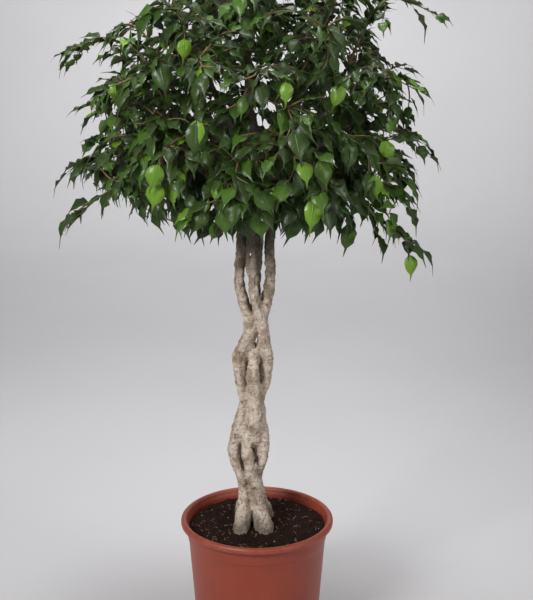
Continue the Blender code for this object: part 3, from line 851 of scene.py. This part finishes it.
def plan_boughs():
    """Gives each bough the place on a limb that brings it to its tip, clear of the others."""
    wood = [limb_point(limb, k / 40) for limb in limbs for k in range(41)]
    for stem in range(4):
        wood += fine_points(stem_points(stem, STEM_COARSE_STEP)[0][-5:])
    courses, taken, leafy = [], [], []
    for tip, spray in bough_tips():
        best = None
        for _, _, limb, t in root_choices(limbs, tip):
            if any((limb_point(limb, t) - other).length < ROOT_SPACING for other in taken):
                continue
            course = bough_course(limb, t, tip, spray)
            fine = fine_points(course_points(course, BOUGH_POINTS - 2))
            gap = nearest_gap(fine[5:], wood) - LIMB_ROOT_RADIUS
            if leafy:
                gap = min(gap, nearest_gap(fine, leafy))
            if best is None or gap > best[0]:
                best = (gap, course, fine)
            if gap > BOUGH_CLEARANCE:
                break
        taken.append(best[1]["axis"])
        leafy += best[2]
        courses.append(best[1])
    return courses


courses = plan_boughs()

# The wood itself: the four stems, their limbs and the collars, grown together in one skin.
# The bark is thin and pale, with pits, rings and old scars, mossy near the crown and soiled at the feet.
# Under the crown its top is darkened with painted shade.
STEM_SHARE = 0.84
COLLAR_RADII = (0.0056, 0.0050, 0.0045, 0.0041, 0.0037)
STRAND_SINK = 0.10
STRAND_FADE = 6
STRAND_STEPS = 4
FEET_Z = 0.27
# Strands, the stems' outermost growth at the front and the back: place across, height and radius, in mm
STRANDS = (
    ((-34, 773, 9.5), (-32.5, 738, 9), (-30.5, 710, 8.8), (-21, 680, 9.2), (-14, 656, 9.5),
     (-13, 634, 9.5), (-23, 614, 9.5), (-36, 584, 9.5), (-37, 568, 9.5), (-32, 529, 9), (-24, 495, 8.5),
     (-28, 470, 9), (-38, 437, 9.5), (-44, 410, 9.8), (-44, 389, 9.5), (-35, 364, 9), (-29, 332, 9),
     (-27, 289, 10), (-32, 252, 12.5), (-34, 214, 15)),
    ((-17, 742, 7.5), (-15.5, 731, 7.8), (-8.5, 710, 8), (1, 685, 8.4), (10.5, 660, 8.6),
     (15.5, 634, 8.8), (18, 610, 9), (22.2, 576, 9.2), (18.5, 539, 8.8), (8, 503, 8.2), (7, 470, 8.4),
     (12.5, 437, 8.8), (15.5, 410, 9), (12.5, 381, 8.8), (5, 353, 8.4), (-4, 325, 8)),
    ((28, 773, 9.2), (27, 729, 9), (21.5, 700, 8.8), (13, 672, 8.4), (4, 650, 7.8)),
    ((-2, 594, 8.5), (-6, 560, 10.5), (-5, 529, 11.8), (-4, 499, 12.2), (-3, 468, 12.5), (-6, 437, 12),
     (-10, 404, 10)),
    ((-26, 420, 9), (-21.5, 390, 10), (-10, 353, 10.8), (-3, 332, 11), (1, 306, 11.2), (8, 275, 12.2),
     (16, 247, 14.5), (20, 214, 16.5)),
)
LIMB_STEPS = 24
KNOT_COUNT = 90
KNOT_SIZE = (0.0030, 0.0072)
TRUNK_SEED = 23
SKIN_STEP = 0.00225
OLD_BARK_TOP = 0.92
OLD_BARK_FADE = 0.16
BARK_ROUGHNESS = (
    ("swellings", "CLOUDS", 0.022, 0.0060),
    ("ridges", "CLOUDS", 0.0085, 0.0036),
    ("pits", "VORONOI", 0.0060, -0.0018),
)
# Hollows between the strands: middle and half-widths, in mm, and lean
HOLLOWS = (
    ((-1, -4, 612), (3.2, 40, 12.5), 8),
    ((9.5, -26, 551), (2.2, 16, 9.5), -6),
    ((-19, 0, 717), (2.8, 40, 8.5), 10),
    ((11, 0, 722), (2.2, 40, 14), -8),
    ((-11, 0, 787), (2.8, 40, 10), -4),
    ((-5, -34, 375), (3.2, 20, 10), 6),
    ((-27, -26, 370), (3.4, 18, 16.5), -8),
    ((-9, -48, 250), (5.2, 30, 40), 0),
    ((-30, -50, 272), (2.4, 12, 11.5), 4),
    ((-21, -30, 500), (1.6, 12, 60), 1),
    ((-25, -24, 475), (9, 10, 1.4), 10),
)


def strand_course(strand, stems, facing):
    """A strand laid over the stems from the front (-1) or the back (1): its points and radii."""
    strand = [metres(place) for place in strand]
    points, radii = [], []
    for i in range(len(strand) - 1):
        before, here, there, after = four_round(strand, i)
        for j in range(STRAND_STEPS):
            t = j / STRAND_STEPS
            x, z, radius = (
                hermite(here[k], there[k], (there[k] - before[k]) / 2, (after[k] - here[k]) / 2, t)
                for k in range(3)
            )
            hit = stems.ray_cast(Vector((x, facing, z)), Vector((0, -facing, 0)))[0]
            if hit:
                points.append(Vector((x, hit.y - facing * radius * STRAND_SINK, z)))
                radii.append(radius)
    depths = [place.y for place in points]
    for i, place in enumerate(points):
        near = depths[max(0, i - 3):i + 4]
        whole = min(1.0, (i + 1) / STRAND_FADE, (len(points) - i) / STRAND_FADE)
        if place.z < FEET_Z:
            whole = 1.0
        place.y = sum(near) / len(near) - facing * radii[i] * (1 - whole)
        radii[i] *= 0.35 + 0.65 * whole
    return points, radii


dice = random.Random(TRUNK_SEED)
shoots = []
for stem in range(4):
    points, radii = stem_points(stem, STEM_STEP)
    phase = dice.uniform(0, math.tau)
    thick = []
    for point, radius in zip(points, radii):
        swell = 1 + 0.035 * math.sin(phase + point.z * 150) + 0.03 * math.sin(phase * 2 + point.z * 61)
        thick.append(radius * swell * STEM_SHARE)
    shoots.append((points, thick))
bare = grow_wood("stems", shoots, WOOD_SIDES)
corners = [corner.co[:] for corner in bare.data.vertices]
stems = BVHTree.FromPolygons(corners, [list(face.vertices) for face in bare.data.polygons])
bpy.data.objects.remove(bare)
for limb in limbs:
    shares = [i / LIMB_STEPS for i in range(LIMB_STEPS + 1)]
    thick = [limb_radius(t) * (1 + 0.05 * math.sin(40 * t + 9 * limb[3].y)) for t in shares]
    shoots.append(([limb_point(limb, t) for t in shares], thick))
for course in courses:
    if course["collar"] > COLLAR_LENGTH:
        lengths = [course["collar"] * k / 4 for k in range(5)]
        lengths[4] -= GAP
        shoots.append(([course["axis"] + course["way"] * length for length in lengths], COLLAR_RADII))
for i in range(KNOT_COUNT):
    points, radii = shoots[i % 4]
    k = dice.randrange(14, len(points) - 2)
    out = way_at(math.radians(dice.uniform(0, 360)))
    size = dice.uniform(*KNOT_SIZE)
    middle = points[k] + out * (radii[k] - size * 0.5)
    knot = [middle - out * size * 0.5, middle, middle + out * size * 0.5]
    shoots.append((knot, [size * 0.5, size, size * 0.45]))
for facing in (-1, 1):
    for strand in STRANDS:
        shoots.append(strand_course(strand, stems, facing))
trunk = grow_wood("braided_trunk_wood", shoots, WOOD_SIDES)
gouges = []
for middle, half_widths, lean in HOLLOWS:
    deselect_all()
    bpy.ops.mesh.primitive_uv_sphere_add(segments=16, ring_count=10, radius=1)
    gouge = bpy.context.object
    placed = Matrix.Translation(metres(middle)) @ Matrix.Rotation(math.radians(lean), 4, "Y")
    gouge.data.transform(placed @ Matrix.Diagonal((*metres(half_widths), 1)))
    gouges.append(gouge)
join_pieces(gouges[0], gouges[1:])

apply_modifier(trunk, "REMESH", mode="VOXEL", voxel_size=SKIN_STEP)
apply_modifier(trunk, "BOOLEAN", operation="DIFFERENCE", object=gouges[0], solver="MANIFOLD")
apply_modifier(trunk, "REMESH", mode="VOXEL", voxel_size=SKIN_STEP)
apply_modifier(trunk, "SMOOTH", factor=0.5, iterations=1)
bpy.data.objects.remove(gouges[0])
old_bark = trunk.vertex_groups.new(name="old bark")
for corner in trunk.data.vertices:
    age = min(1.0, max(0.0, (OLD_BARK_TOP - corner.co.z) / OLD_BARK_FADE))
    old_bark.add([corner.index], 0.12 + 0.88 * age, "REPLACE")
roughen(trunk, "old bark", "NORMAL", BARK_ROUGHNESS)
select_only(trunk)
bpy.ops.object.shade_smooth()

bark = Finish("fig bark", 0.78)
spot = bark.place()
height = spot.part("Z")
cloudy = bark.noise(spot, 38, 5.0, 0.62)
mottle = bark.noise(spot, 150, 4.0, 0.65)
speck = bark.noise(bark.place((1, 1, 1.8)), 330, 3.0, 0.6)
rings = bark.noise(bark.place((30, 30, 420)), 1.0, 3.0)
crack = bark.noise(bark.place((240, 240, 46)), 1.0, 4.0)
cells = {"Vector": bark.place((1, 1, 0.7)), "Scale": 150.0}
pit = bark.node("ShaderNodeTexVoronoi", None, cells, "Distance")
pore = (1 - pit.over(0.10, 0.34)) * mottle.over(0.44, 0.60)
# Painted shade: the trunk darkens upwards under the crown
high = height.over(0.72, 0.84)
foot = 1 - height.over(0.232, 0.285)
moss = height.over(0.66, 0.80) * bark.noise(spot, 30, 4.0).over(0.42, 0.62)
bark.colour(
    BARK_BEIGE,
    (cloudy.over(0.34, 0.58), BARK_PALE),
    (mottle.over(0.50, 0.66) * 0.60, BARK_BEIGE),
    (rings.over(0.56, 0.68) * 0.50, BARK_PIT),
    (crack.over(0.58, 0.70) * 0.60, BARK_PIT),
    (speck.over(0.56, 0.68) * 0.65, BARK_PIT),
    (pore * 0.65, BARK_PIT),
    (moss * 0.75, BARK_GREEN),
    # Painted shade on the trunk's top, under the crown
    (high * 0.88, BARK_SOIL_AND_SHADE),
    (foot * (0.25 + cloudy * 0.9), BARK_SOIL_AND_SHADE),
)
bark.roughness(0.66 + mottle * 0.2)
rough = cloudy * 0.6 + mottle * 0.55 + speck * 0.30 + rings * 0.45
bark.bump(rough - pore * 0.6 - crack.over(0.58, 0.72) * 0.35, 0.0022)
finish_piece(trunk, bark, "bark", "braided_trunk")

# Leaf: thin, glossy and oval, on a slim stalk, folded a little along its rib, with a wavy edge and a long
# drip tip. One is modelled flat and true to size. The crown's leaves are copies, each bent its own way.
LEAF_LENGTH = 0.066
LEAF_WIDTH = 0.033
LEAF_THICKNESS = 0.0005
LEAF_FOLD = 0.0035
LEAF_ARCH = 0.0064
LEAF_CURL = (0.02, 0.11)
LEAF_WAVE = (0.0018, 0.0056)
LEAF_BEAT = (13, 22)
LEAF_SWAY = 0.006
LEAF_BREADTH = (0.80, 1.08)
LEAF_SPARE = 0.008
HANGING_BELOW = 0.90
FLAT_ABOVE = 1.10
FAR_REACH = 0.235
FAR_FADE = 0.05
LEAF_ROWS = (
    (0.000, 0.020), (0.130, 0.020), (0.165, 0.190), (0.240, 0.380), (0.360, 0.490),
    (0.500, 0.490), (0.635, 0.340), (0.755, 0.090), (1.000, 0.006),
)

deselect_all()
bpy.ops.mesh.primitive_grid_add(x_subdivisions=2, y_subdivisions=8, size=1, location=(0, 0.5, 0))
leaf = bpy.context.object
leaf.name = "fig_leaf"
bpy.ops.object.transform_apply(location=True)
for row, (share, half) in enumerate(LEAF_ROWS):
    pick_corners(leaf, lambda corner: corner.index // 3 == row)
    bpy.ops.transform.resize(value=(half * 2 * LEAF_WIDTH, 1, 1), center_override=(0, 0, 0))
    bpy.ops.transform.translate(value=(0, share * LEAF_LENGTH - row / 8, 0))
    bpy.ops.object.mode_set(mode="OBJECT")
apply_modifier(leaf, "SOLIDIFY", thickness=LEAF_THICKNESS, offset=0)
bpy.ops.object.shade_smooth()
leaf.data.attributes.new("leaf", "FLOAT_VECTOR", "POINT")
leaf_plan = np.array([corner.co[:] for corner in leaf.data.vertices])


def square_up(point, face):
    """The way that a leaf points, and the way that it faces, square to it."""
    point = point.normalized()
    return point, (face - point * face.dot(point)).normalized()


def leaf_frame(root, way, side, dice):
    """A leaf hangs down and outwards over the dome, with its face to the outside."""
    away = root - CROWN_AXIS - UP * CROWN_WIDEST_Z
    out = level(away)
    away.z *= 0.55
    face = (away.normalized() + UP * 0.35).normalized()
    down = (out * 0.5 - UP).normalized()
    across = way.cross(face).normalized() * side
    droop = dice.uniform(0.35, 0.85) + max(0.0, way.z)
    point = way * 0.75 + across * dice.uniform(0.35, 0.75) + down * droop
    face = face + across * dice.uniform(-0.35, 0.35) + way * dice.uniform(-0.15, 0.25)
    return root, *square_up(point, face), dice.uniform(0.82, 1.15)


def fill_frame(root, way, side, dice):
    """A leaf among the others: it hangs low in the crown, and lies flatter higher up and far out."""
    out = level(root - CROWN_AXIS)
    high = min(1.0, max(0.0, (root.z - HANGING_BELOW) / (FLAT_ABOVE - HANGING_BELOW)))
    far = min(1.0, max(0.0, ((root - CROWN_AXIS).xy.length - FAR_REACH) / FAR_FADE))
    face = out * (0.95 - 0.85 * high) * (1 - 0.6 * far) + UP * (0.38 + 0.92 * high + 0.5 * far)
    face = face.normalized() + Vector([dice.gauss(0, 0.27) for _ in range(3)])
    across = way.cross(face).normalized() * side
    down = out * (0.45 + 0.7 * far) - UP * (1 - 0.45 * far)
    droop = dice.uniform(0.05, 0.75 - 0.45 * high) * (1 - 0.4 * far)
    point = way * (1.0 + 0.3 * far) + across * dice.uniform(0.20, 0.90) + down * droop
    point += out * 0.40 * far
    return root, *square_up(point, face), dice.uniform(0.62, 0.98) * (1 - 0.24 * high)


def hang_leaf(frame, young, dice):
    """A copy of the leaf in its place, with its own fold, droop and waves, or None past the crown's reach."""
    root, point, face, size = frame
    across = point.cross(face)
    x, y, z = leaf_plan.T
    share = y / LEAF_LENGTH
    half = np.abs(x) / LEAF_WIDTH
    fold = LEAF_FOLD * dice.uniform(0.4, 2.2)
    arch = LEAF_ARCH * dice.uniform(0.4, 2.6)
    curl = dice.uniform(*LEAF_CURL)
    wave = dice.uniform(*LEAF_WAVE)
    beat = dice.uniform(*LEAF_BEAT)
    start = dice.uniform(0, math.tau)
    sides = np.where(x > 0, 0.0, dice.uniform(0.5, 2.5))
    rise = 2 * half * fold - arch * share**2 - curl * np.maximum(share - 0.7, 0) ** 2
    rise += wave * np.sin(beat * share + start + sides) * half * 2
    sway = dice.uniform(-LEAF_SWAY, LEAF_SWAY) * share**3
    wide = dice.uniform(*LEAF_BREADTH)
    corners = np.outer(x * wide + sway, across) + np.outer(y, point) + np.outer(z + rise, face)
    corners = corners * size + np.array(root)
    low, high = corners.min(axis=0), corners.max(axis=0)
    if (low < np.array(cad_low) - LEAF_SPARE).any() or (high > np.array(cad_high) + LEAF_SPARE).any():
        return None
    made = leaf.copy()
    made.data = leaf.data.copy()
    made.data.vertices.foreach_set("co", corners.astype(np.float32).ravel())
    looks = np.tile((dice.random(), young, 0.0), (len(corners), 1))
    looks[:, 2] = leaf_plan[:, 2] < 0
    made.data.attributes["leaf"].data.foreach_set("vector", looks.astype(np.float32).ravel())
    bpy.context.scene.collection.objects.link(made)
    return made


# Crown: 46 leafy boughs, each arching off its limb and hanging at its tip, with side shoots that fill the
# dome. Leaves stand along every shoot to left and right in turn, the youngest a bright yellow-green.
BOUGH_ROOT_RADIUS = 0.0032
BOUGH_TIP_RADIUS = 0.0014
BOUGH_STEPS = 22
TWIG_SIDES = 6
LEAVES_ON_BOUGH = (0.34, 0.44, 0.54, 0.63, 0.72, 0.81, 0.90)
LEAF_BETWEEN = 0.045
LEAF_STEP = 0.0150
FIRST_LEAF = 0.026
LEAF_APART = 0.0125
LEAF_APART_HIGH = 0.0093
SHOOT_COUNT = 820
SHOOT_TRIES = 12000
SHOOT_HEIGHTS = (-0.95, 0.97)
SHOOT_STEPS = 9
SHOOT_HOLD = (0.40, 0.40)
SHOOT_SPACING = 0.033
SHOOT_SPACING_HIGH = 0.028
SPRAY_SIDES = (0.50, 0.60, 0.70, 0.79, 0.88)
SPRAY_LEAVES = 13
SPRAY_LEAVES_FROM = 0.50
SPRAY_LEAVES_SPAN = 0.48
SHOOT_ROOT_RADIUS = 0.0015
SHOOT_TIP_RADIUS = 0.0007
YOUNG_SHARE = 0.035
SHOWN_REACH = 0.035
# Leaves that catch the eye at the front: place across, height, freshness and size
SHOWN_LEAVES = (
    (-0.129, 1.195, 1.0, 0.75), (0.039, 1.144, 0.8, 0.85), (0.120, 1.146, 0.7, 0.95),
    (0.068, 1.107, 0.9, 0.75), (-0.200, 0.981, 0.6, 0.90), (-0.136, 1.085, 1.0, 0.90),
    (-0.192, 0.928, 0.9, 0.95), (-0.063, 0.998, 0.7, 0.70), (0.113, 0.919, 0.9, 1.10),
    (0.277, 0.800, 1.0, 0.85), (0.228, 0.947, 0.6, 0.85), (-0.237, 1.167, 0.8, 0.85),
    (0.240, 1.035, 0.6, 0.80), (-0.150, 1.143, 0.0, 1.10), (-0.095, 1.097, 0.0, 1.15),
    (-0.110, 0.915, 0.1, 0.95), (-0.068, 0.905, 0.1, 1.00), (0.013, 0.893, 0.1, 1.00),
    (0.048, 0.975, 0.1, 0.95), (0.207, 0.845, 0.3, 1.10), (0.169, 1.041, 0.1, 0.95),
    (0.140, 0.985, 0.1, 1.00),
)
LEAF_DEEP = (0.024, 0.042, 0.007)
LEAF_GREEN = (0.036, 0.086, 0.009)
LEAF_LIGHT = (0.080, 0.185, 0.014)
LEAF_YOUNG = (0.170, 0.340, 0.018)
LEAF_UNDER = (0.095, 0.145, 0.040)
LEAF_VEIN = (0.085, 0.150, 0.026)
TWIG_BROWN = (0.240, 0.125, 0.070)
TWIG_GREEN = (0.105, 0.125, 0.035)


def course_place(course, t):
    """A point and the direction at a share of the bough, counted as in its five long stretches."""
    place = min(t, 0.9999) * (BOUGH_POINTS - 1)
    if place < 1:
        return course["root"].lerp(course["knots"][0], place), course["way"]
    share = (place - 1) / (BOUGH_POINTS - 2)
    before, here, after = (bezier(course["knots"], share + k) for k in (-0.01, 0.0, 0.01))
    return here, (after - before).normalized()


def shoot_tips(dice):
    """Where the side shoots grow to: beside the sprays, then evenly through the outer part of the dome."""
    found = []
    for number in range(len(SPRAYS)):
        for i, share in enumerate(SPRAY_SIDES):
            place, way = course_place(courses[number], share)
            aside = way.cross(UP).normalized() * (-1 if i % 2 else 1)
            reach = way * dice.uniform(0.035, 0.060) + aside * dice.uniform(0.025, 0.050)
            found.append(place + reach - UP * dice.uniform(0.005, 0.030))
    tries = 0
    while len(found) < SHOOT_COUNT and tries < SHOOT_TRIES:
        tries += 1
        height = dice.uniform(*SHOOT_HEIGHTS)
        turn = dice.uniform(0, math.tau)
        tip = dome_place(turn, height, dice.uniform(0.36, 1.0) ** 0.6)
        spacing = SHOOT_SPACING_HIGH if tip.z > FLAT_ABOVE else SHOOT_SPACING
        if all((tip - other).length > spacing for other in found):
            found.append(tip)
    return found


def plan_shoots(dice):
    """Gives each shoot the nearest place on a bough, a little higher or nearer the middle than its tip."""
    places = []
    for number, course in enumerate(courses):
        for k in range(3, 30):
            place, way = course_place(course, k / 30)
            places.append((place, way, number))
    finder = finder_of([place for place, _, _ in places])
    shoots = [[] for _ in courses]
    for tip in shoot_tips(dice):
        choices = []
        for _, index, distance in finder.find_n(tip, 60):
            place, way, number = places[index]
            below = max(0.0, tip.z - place.z - 0.02)
            outside = max(0.0, (place - CROWN_AXIS).xy.length - (tip - CROWN_AXIS).xy.length)
            short = max(0.0, 0.055 - distance)
            cost = distance + 1.5 * below + 1.5 * outside + 2.0 * short + 0.01 * len(shoots[number])
            choices.append((cost, index))
        place, way, number = places[min(choices)[1]]
        out = level(tip - place)
        start_way = ((tip - place).normalized() + way * 0.6 + UP * 0.30).normalized()
        low = min(1.0, max(0.0, (FLAT_ABOVE - tip.z) / 0.2))
        fall = math.radians(dice.uniform(5, 35) + 26 * low)
        end_way = (out * math.cos(fall) - UP * math.sin(fall)).normalized()
        shoots[number].append(curve_to(place, start_way, tip, end_way, SHOOT_HOLD))
    return shoots


def bough_leaves(course, shares, first_side, frame_of, dice):
    """Leaf frames at shares of a bough, to one side and the other in turn."""
    frames = []
    for i, share in enumerate(shares):
        root, way = course_place(course, share)
        frames.append(frame_of(root, way, -first_side if i % 2 else first_side, dice))
    return frames


def shoot_leaves(points, dice):
    """Leaf frames along a shoot, to left and right in turn, and one at its tip."""
    frames = [fill_frame(points[-1], (points[-1] - points[-2]).normalized(), 0, dice)]
    travelled, due, side = 0.0, FIRST_LEAF, 1
    for a, b in zip(points, points[1:]):
        step = (b - a).length
        while due <= travelled + step:
            root = a.lerp(b, (due - travelled) / step)
            frames.append(fill_frame(root, (b - a).normalized(), side, dice))
            side = -side
            due += LEAF_STEP * dice.uniform(0.85, 1.2)
        travelled += step
    return frames


foliage = Finish("fig leaf", 0.34, Specular_IOR_Level=0.58)
look = foliage.attribute("leaf")
tone, fresh, under = (look.part(axis) for axis in "XYZ")
blade = foliage.node("ShaderNodeUVMap", {"uv_map": "UVMap"})
sideways = blade.part("X") - 0.5
from_rib = sideways.math("ABSOLUTE", sideways)
rib = 1 - from_rib.over(0.010, 0.045)
ripple = (blade.part("Y") * 15 - from_rib * 5.5) * math.tau
veins = ripple.math("SINE", ripple).over(0.80, 1.0)
patchy = foliage.noise(foliage.place(), 110, 3.0)
foliage.colour(
    LEAF_DEEP,
    (tone.over(0.05, 0.95), LEAF_GREEN),
    (tone.over(0.66, 1.0) * 0.8, LEAF_LIGHT),
    (patchy.over(0.35, 0.70) * 0.35, LEAF_GREEN),
    (veins * 0.22, LEAF_LIGHT),
    (rib * 0.55, LEAF_VEIN),
    (under * 0.55, LEAF_UNDER),
    (fresh, LEAF_YOUNG),
)
foliage.roughness(0.27 + patchy * 0.16 + under * 0.30)
foliage.bump(rib * 0.8 + veins * 0.35 + patchy * 0.3, 0.0006)

twiggy = Finish("fig twig", 0.7)
spot = twiggy.place()
skin = twiggy.noise(spot, 240, 3.0)
age = twiggy.noise(spot, 18, 2.0)
twiggy.colour(TWIG_BROWN, (age.over(0.42, 0.60), TWIG_GREEN), (skin.over(0.55, 0.70) * 0.5, BARK_BEIGE))
twiggy.bump(skin, 0.0006)


def leaf_centre(frame):
    root, point, _, size = frame
    return root + point * (LEAF_LENGTH * 0.55 * size)


def taper(root, tip, steps):
    return [root + (tip - root) * k / steps for k in range(steps + 1)]


def dress_bough(number, course, shoots):
    """The wood of a bough and its shoots, as points and radii, and the frames of all its leaves."""
    own_dice = random.Random(BOUGH_SEED * 1000 + number)
    spray = number < len(SPRAYS)
    frames = [leaf_frame(course["knots"][3], course_place(course, 1.0)[1], 0, own_dice)]
    frames += bough_leaves(course, LEAVES_ON_BOUGH, -1, fill_frame if spray else leaf_frame, own_dice)
    filling = random.Random(BOUGH_SEED * 2000 + number)
    between = [share + LEAF_BETWEEN for share in LEAVES_ON_BOUGH]
    frames += bough_leaves(course, between, 1, fill_frame, filling)
    if spray:
        steps = range(SPRAY_LEAVES)
        more = [SPRAY_LEAVES_FROM + SPRAY_LEAVES_SPAN * i / SPRAY_LEAVES for i in steps]
        frames += bough_leaves(course, more, 1, fill_frame, filling)
    line = course_points(course, BOUGH_STEPS)
    thick = taper(BOUGH_ROOT_RADIUS, BOUGH_TIP_RADIUS, len(line) - 1)
    thick[-1] = SHOOT_TIP_RADIUS
    wood = [(line, thick)]
    for knots in shoots:
        points = [bezier(knots, k / SHOOT_STEPS) for k in range(SHOOT_STEPS + 1)]
        wood.append((points, taper(SHOOT_ROOT_RADIUS, SHOOT_TIP_RADIUS, SHOOT_STEPS)))
        frames += shoot_leaves(points, filling)
    return wood, frames


def shown_leaves(dressed):
    """The leaves that catch the eye: the foremost one near each of their places, with its looks."""
    centres = [
        (leaf_centre(frame), number, i)
        for number, (_, frames) in enumerate(dressed)
        for i, frame in enumerate(frames)
    ]
    found = {}
    for x, z, fresh, size in SHOWN_LEAVES:
        near = [
            (centre.y, number, i)
            for centre, number, i in centres
            if math.hypot(centre.x - x, centre.z - z) < SHOWN_REACH and centre.y < 0.05
        ]
        if near:
            found[min(near)[1:]] = fresh, size
    return found


def show(frame, size, dice):
    """The leaf turned so that it hangs with its face to the front."""
    root, point, _, _ = frame
    point = point * 0.5 - UP + Vector((dice.uniform(-0.3, 0.3), 0.0, 0.0))
    face = Vector((dice.uniform(-0.35, 0.35), -1.0, dice.uniform(0.2, 0.6)))
    return root, *square_up(point, face), size


side_shoots = plan_shoots(random.Random(BOUGH_SEED))
dressed = [dress_bough(number, course, side_shoots[number]) for number, course in enumerate(courses)]
shown = shown_leaves(dressed)
leaf.data.materials.append(foliage.material)
# The middles of the leaves hung so far, after a first row at the origin
hung = np.zeros((sum(len(frames) for _, frames in dressed) + 1, 3))
hung_count = 1
for number, (wood, frames) in enumerate(dressed):
    filling = random.Random(BOUGH_SEED * 3000 + number)
    leaves = []
    for i, planned in enumerate(frames):
        young = filling.uniform(0.6, 1.0) if filling.random() < YOUNG_SHARE else 0.0
        picked = (number, i) in shown
        if picked:
            young, size = shown[number, i]
            planned = show(planned, size, filling)
        centre = np.array(leaf_centre(planned))
        apart = LEAF_APART_HIGH if centre[2] > FLAT_ABOVE else LEAF_APART
        if not picked and np.linalg.norm(hung[:hung_count] - centre, axis=1).min() < apart:
            continue
        made = hang_leaf(planned, young, filling)
        if made:
            hung[hung_count] = centre
            hung_count += 1
            leaves.append(made)
    bough = grow_wood(f"leafy_bough_{number:02d}_dressed", wood, TWIG_SIDES)
    bough.data.materials.append(twiggy.material)
    bpy.ops.object.shade_smooth()
    join_pieces(bough, leaves)
    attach(bough, "root")
    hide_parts(f"leafy_bough_{number:02d}")
bpy.data.objects.remove(leaf)

low, high = (list(corner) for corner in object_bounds())
